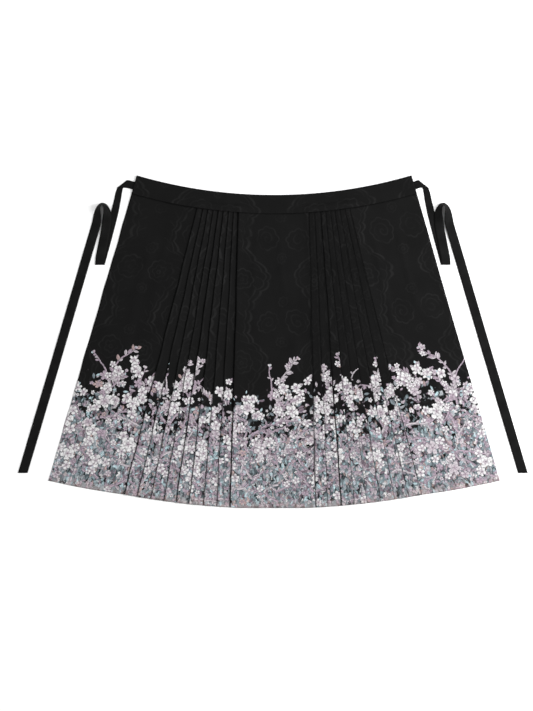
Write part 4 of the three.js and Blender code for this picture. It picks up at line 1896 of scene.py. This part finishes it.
    def build(self, material: Material) -> tuple[Object, Shell]:
        """Builds the ribbon.

        Args:
            material: the ribbon's cloth.
        Returns:
            The object and its shell.
        """
        low = self.cloth / 2
        high = low + self.cloth + self.gap
        rows = [self.flat_row(station, high) for station in self.stub]
        rows += self.fold_rows(self.corner, high, low)
        rows += [self.flat_row(station, low) for station in self.down]
        rows += self.fold_rows(self.turn, low, high)
        rows += [self.leaning_row(station) for station in self.smooth_up()]
        centres = np.array(rows)
        along = np.linalg.norm(np.diff(centres[:, self.columns // 2], axis=0), axis=1)
        along = np.concatenate([[0.0], np.cumsum(along)])
        wave = 0.25 * (1 + np.sin(along / 21.0)) + 0.2 * (1 + np.sin(along / 47.0 + 1.0))
        grown = np.clip((along - self.wave_starts) / (self.wave_ends - self.wave_starts), 0, 1)
        centres[..., 2] += (wave * grown)[:, None]
        if self.side is Side.RIGHT:
            share = (-centres[..., 0] - self.shift_starts) / (self.shift_ends - self.shift_starts)
            share = np.clip(share, 0, 1)
            centres[..., 0] = -centres[..., 0] - self.right_shift * smooth(share)
        across = np.broadcast_to(self.offsets(self.width), (len(centres), self.columns))
        flat = np.stack([np.broadcast_to(along[:, None], across.shape), across], axis=-1)
        edges = np.clip(np.abs(across) - self.width / 2 + self.selvage, 0, 1)
        shell = Shell(self.name, centres, flat, self.thickness + 0.15 * edges, -self.side.value)
        return shell.build(material, material), shell


@dataclass
class Stitches:
    """A row or more of machine stitches, joined in one mesh.

    Attributes:
        name: the piece's name.
        pitch: length from one stitch to the next.
        length: length of the thread that shows.
        radius: half the thread's thickness.
        rings: the thread's thickness and lift at the start, middle and end of a stitch, in radii.
    """

    name: str
    pitch: float = 3.4
    length: float = 2.5
    radius: float = 0.21
    rings: tuple[tuple[float, float], ...] = ((0.35, 0.0), (1.0, 0.6), (0.35, 0.0))
    points: list[np.ndarray] = field(default_factory=list)
    faces: list[tuple[int, ...]] = field(default_factory=list)

    def sew(self, path: np.ndarray, normals: np.ndarray) -> None:
        """Sews along a path on the cloth.

        Args:
            path: points on the cloth's face.
            normals: the face's direction at them.
        """
        run = np.concatenate([[0.0], np.cumsum(np.linalg.norm(np.diff(path, axis=0), axis=1))])
        for start in np.arange(self.pitch / 2, run[-1] - self.length, self.pitch):
            ends = [np.array([np.interp(start + part * self.length, run, path[:, axis]) for axis in range(3)])
                    for part in (0.0, 0.5, 1.0)]
            normal = np.array([np.interp(start, run, normals[:, axis]) for axis in range(3)])
            heading = ends[2] - ends[0]
            heading /= max(float(np.linalg.norm(heading)), 1e-9)
            side = np.cross(heading, normal)
            first = sum(len(block) for block in self.points)
            block = []
            for end, (thick, lift) in zip(ends, self.rings):
                centre = end + normal * self.radius * lift
                for angle in (0, 90, 180, 270):
                    c, s = math.cos(math.radians(angle)), math.sin(math.radians(angle))
                    block.append(centre + (side * c + normal * s) * self.radius * thick)
            self.points.append(np.array(block))
            for ring in (0, 4):
                for corner in range(4):
                    after = (corner + 1) % 4
                    a, b = first + ring + corner, first + ring + after
                    self.faces.append((a, b, b + 4, a + 4))
            self.faces.append((first + 3, first + 2, first + 1, first))
            self.faces.append((first + 8, first + 9, first + 10, first + 11))

    def build(self, material: Material) -> Object:
        """Builds the stitches as one object.

        Args:
            material: the thread.
        Returns:
            The object.
        """
        return put_mesh(self.name, to_frame(np.concatenate(self.points)), self.faces, material)


def row_path(shell: Shell, height: float, columns: list[int]) -> tuple[np.ndarray, np.ndarray]:
    """Gives a path on a cloth's face at one height above its hem.

    Args:
        shell: the cloth.
        height: height above the hem.
        columns: the columns that it crosses.
    Returns:
        Its points and the face's directions there.
    """
    points, normals = [], []
    for column in columns:
        level = shell.cloth[:, column, 1]
        row = int(np.argmin(np.abs(level - height)))
        other = row - 1 if level[row] < height else min(row + 1, shell.rows - 1)
        span = level[other] - level[row]
        share = 0.0 if abs(span) < 1e-6 else float((height - level[row]) / span)
        points.append(shell.face[row, column] * (1 - share) + shell.face[other, column] * share)
        normals.append(shell.normal[row, column])
    return np.array(points), np.array(normals)


def column_path(shell: Shell, inset: float, first: bool) -> tuple[np.ndarray, np.ndarray]:
    """Gives a path on a cloth's face beside its first or last edge.

    Args:
        shell: the cloth.
        inset: distance from the edge.
        first: whether it is the first edge.
    Returns:
        Its points and the face's directions there.
    """
    edge = 0 if first else shell.columns - 1
    step = 1 if first else -1
    points, normals = [], []
    for row in range(4, shell.rows):
        near = np.abs(shell.cloth[row, :, 0] - shell.cloth[row, edge, 0])
        column = edge
        while near[column + step] < inset:
            column += step
        share = (inset - near[column]) / (near[column + step] - near[column])
        points.append(shell.face[row, column] * (1 - share) + shell.face[row, column + step] * share)
        normals.append(shell.normal[row, column])
    return np.array(points), np.array(normals)


def hem_stitches(half: SkirtHalf, shell: Shell) -> Stitches:
    """Sews the turned hems of a cloth where they show.

    Args:
        half: the cloth.
        shell: its built wall.
    Returns:
        The stitches.
    """
    hem = Stitches(half.name + "_stitches", pitch=7.0, length=1.3)
    visible = np.array(half.marks["visible"])
    for columns in np.split(visible, np.nonzero(np.diff(visible) > 1)[0] + 1):
        if len(columns) > 3:
            hem.sew(*row_path(shell, half.hem_row, list(columns)))
    for first in (True,) if half.over is None else (True, False):
        hem.sew(*column_path(shell, half.hem_row, first))
    return hem


@dataclass(frozen=True)
class Studio:
    """The floor, the soft light, and the camera straight above.

    Attributes:
        pixel: millimetres of the floor that one pixel spans.
        frame_height: pixels from the picture's bottom to its top.
        sensor: height of the camera's sensor in millimetres.
        distance: the camera's height in metres.
        floor_half, floor_level: half the floor's side and the floor's height, in metres.
        look_x, look_y: place that the camera looks at.
    """

    pixel: float = 3.043
    frame_height: int = 711
    sensor: float = 36.0
    distance: float = 6.0
    look_x: float = -23.2
    look_y: float = -488.6
    floor_half: float = 9.0
    floor_level: float = -0.0004

    def build(self) -> None:
        """Sets up the floor, the lights and the camera."""
        self.floor()
        self.sky()
        self.panels()
        target = to_frame(np.array([self.look_x, self.look_y, 0.0]))
        camera = bpy.data.cameras.new("camera")
        camera.sensor_fit = "VERTICAL"
        camera.sensor_height = self.sensor
        camera.lens = self.sensor * self.distance / (self.pixel * self.frame_height * MM)
        camera.clip_end = 50.0
        holder = put("camera", camera)
        holder.location = (target[0], target[1], self.distance)
        bpy.context.scene.camera = holder
        bpy.context.scene.view_settings.view_transform = "Standard"

    def floor(self) -> None:
        """Lays the surface just under the skirt."""
        half = self.floor_half
        corners = ((-half, -half), (half, -half), (half, half), (-half, half))
        points = np.array([(x, y, self.floor_level) for x, y in corners])
        floor = put_mesh("floor", points, [(0, 1, 2, 3)], PaleFloor().material())

    def sky(self) -> None:
        """Surrounds the scene with a white room, lit more from above than from its walls."""
        world = bpy.data.worlds.new("white_room")
        world.use_nodes = True
        tree = world.node_tree
        backdrop = tree.nodes["Background"]
        backdrop.inputs[0].default_value = linear("ffffff")
        up = Signal(tree, add_node(tree, "TexCoord").outputs["Generated"]).parts()[2].calc("MAXIMUM", 0.0)
        seen = Signal(tree, add_node(tree, "LightPath").outputs["Is Camera Ray"])
        strength = (up * 0.50 + 0.22).calc("MAXIMUM", seen)
        tree.links.new(strength.socket, backdrop.inputs[1])
        bpy.context.scene.world = world

    def panels(self) -> None:
        """Adds a large soft panel low on each side."""
        for name, spot, size, power in (
            ("panel_left", (-4.0, 0.7, 2.7), (1.4, 2.6), 95.0),
            ("panel_right", (2.4, 0.3, 1.6), (1.1, 2.0), 125.0),
        ):
            light = bpy.data.lights.new(name, "AREA")
            light.shape = "RECTANGLE"
            light.size, light.size_y = size
            light.energy = power
            holder = put(name, light)
            holder.location = spot
            aim = -np.array(spot)
            holder.rotation_euler = (
                math.atan2(math.hypot(aim[0], aim[1]), -aim[2]), 0.0,
                math.atan2(aim[1], aim[0]) - math.pi / 2)


LEFT_FOLDS = (
    FoldLine(220.0, 10.7, 0.0, 0.9), FoldLine(204.0, 9.77, 2.5, 0.7), FoldLine(190.0, 8.81, 2.5, 0.75),
    FoldLine(175.5, 7.85, 1.0, 0.65), FoldLine(161.0, 6.97, 0.0, 0.95), FoldLine(147.5, 6.05, 0.0, 0.8),
    FoldLine(133.5, 5.03, 0.0, 0.65), FoldLine(120.0, 4.08, 0.0, 0.6), FoldLine(106.5, 3.09, 0.0, 1.15),
)
RIGHT_FOLDS = (
    FoldLine(216.0, 10.55, 4.0, 0.8), FoldLine(203.5, 9.6, 5.0, 0.75), FoldLine(189.5, 8.58, 4.5, 0.7),
    FoldLine(176.0, 7.58, 4.0, 0.7), FoldLine(164.0, 6.63, 2.0, 0.55), FoldLine(150.5, 5.69, 0.0, 0.65),
    FoldLine(136.5, 4.75, 0.0, 1.2), FoldLine(120.0, 3.82, 0.0, 0.7), FoldLine(103.5, 2.97, 0.0, 0.75),
)
LEFT_SPRAYS = ((-136.0, 474.0), (-30.0, 420.0), (96.0, 462.0), (215.0, 440.0), (330.0, 458.0))
RIGHT_SPRAYS = (
    (-66.0, 438.0), (-176.0, 476.0), (118.0, 458.0), (240.0, 474.0), (370.0, 440.0), (560.0, 474.0),
)


def register(piece: Object, node: str | None) -> None:
    """Ties a piece to the frame.

    Args:
        piece: the object.
        node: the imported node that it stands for, or none.
    """
    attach(piece, BODY)
    if node:
        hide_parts(node)
    LOG.info("%s: %d faces", piece.name, len(piece.data.polygons))


def main() -> None:
    """Builds the skirt, its surroundings and the camera."""
    logging.basicConfig(level=logging.INFO, format="%(message)s")
    Studio().build()

    printed = PrintedJacquard()
    face = printed.material()
    reverse = ClothReverse().material()
    plain = Jacquard().material()
    ribbon = TieRibbon().material()
    thread = SewingThread().material()

    printer = Printer(printed.ink.layers, cell=2.9)
    left = SkirtHalf(
        "skirt_left_cloth", "skirt_left", Side.LEFT, LEFT_FOLDS, LEFT_SPRAYS, seed=11, figure_start=60.0)
    right = SkirtHalf(
        "skirt_right_cloth", "skirt_right", Side.RIGHT, RIGHT_FOLDS, RIGHT_SPRAYS, seed=29,
        figure_start=544.0, over=left)
    cloths = []
    for half in (left, right):
        piece, shell = half.build(face, reverse, printer)
        register(piece, half.node)
        cloths.append((piece, shell, half))

    band = Waistband(left, right)
    band_piece, band_shell = band.build(plain)
    register(band_piece, "waistband")

    for name, side in (("tie_left", Side.LEFT), ("tie_right", Side.RIGHT)):
        tie_piece, _ = Tie(name + "_ribbon", side).build(ribbon)
        register(tie_piece, name)

    for piece, shell, half in cloths:
        sewn = hem_stitches(half, shell).build(thread)
        register(sewn, None)

    topstitch = Stitches("waistband_stitches")
    for column in (-2, 13):  # near the front's lower edge, and near the top
        topstitch.sew(band_shell.face[2:-2, column], band_shell.normal[2:-2, column])
    sewn = topstitch.build(thread)
    register(sewn, None)


if __name__ == "__main__":
    main()
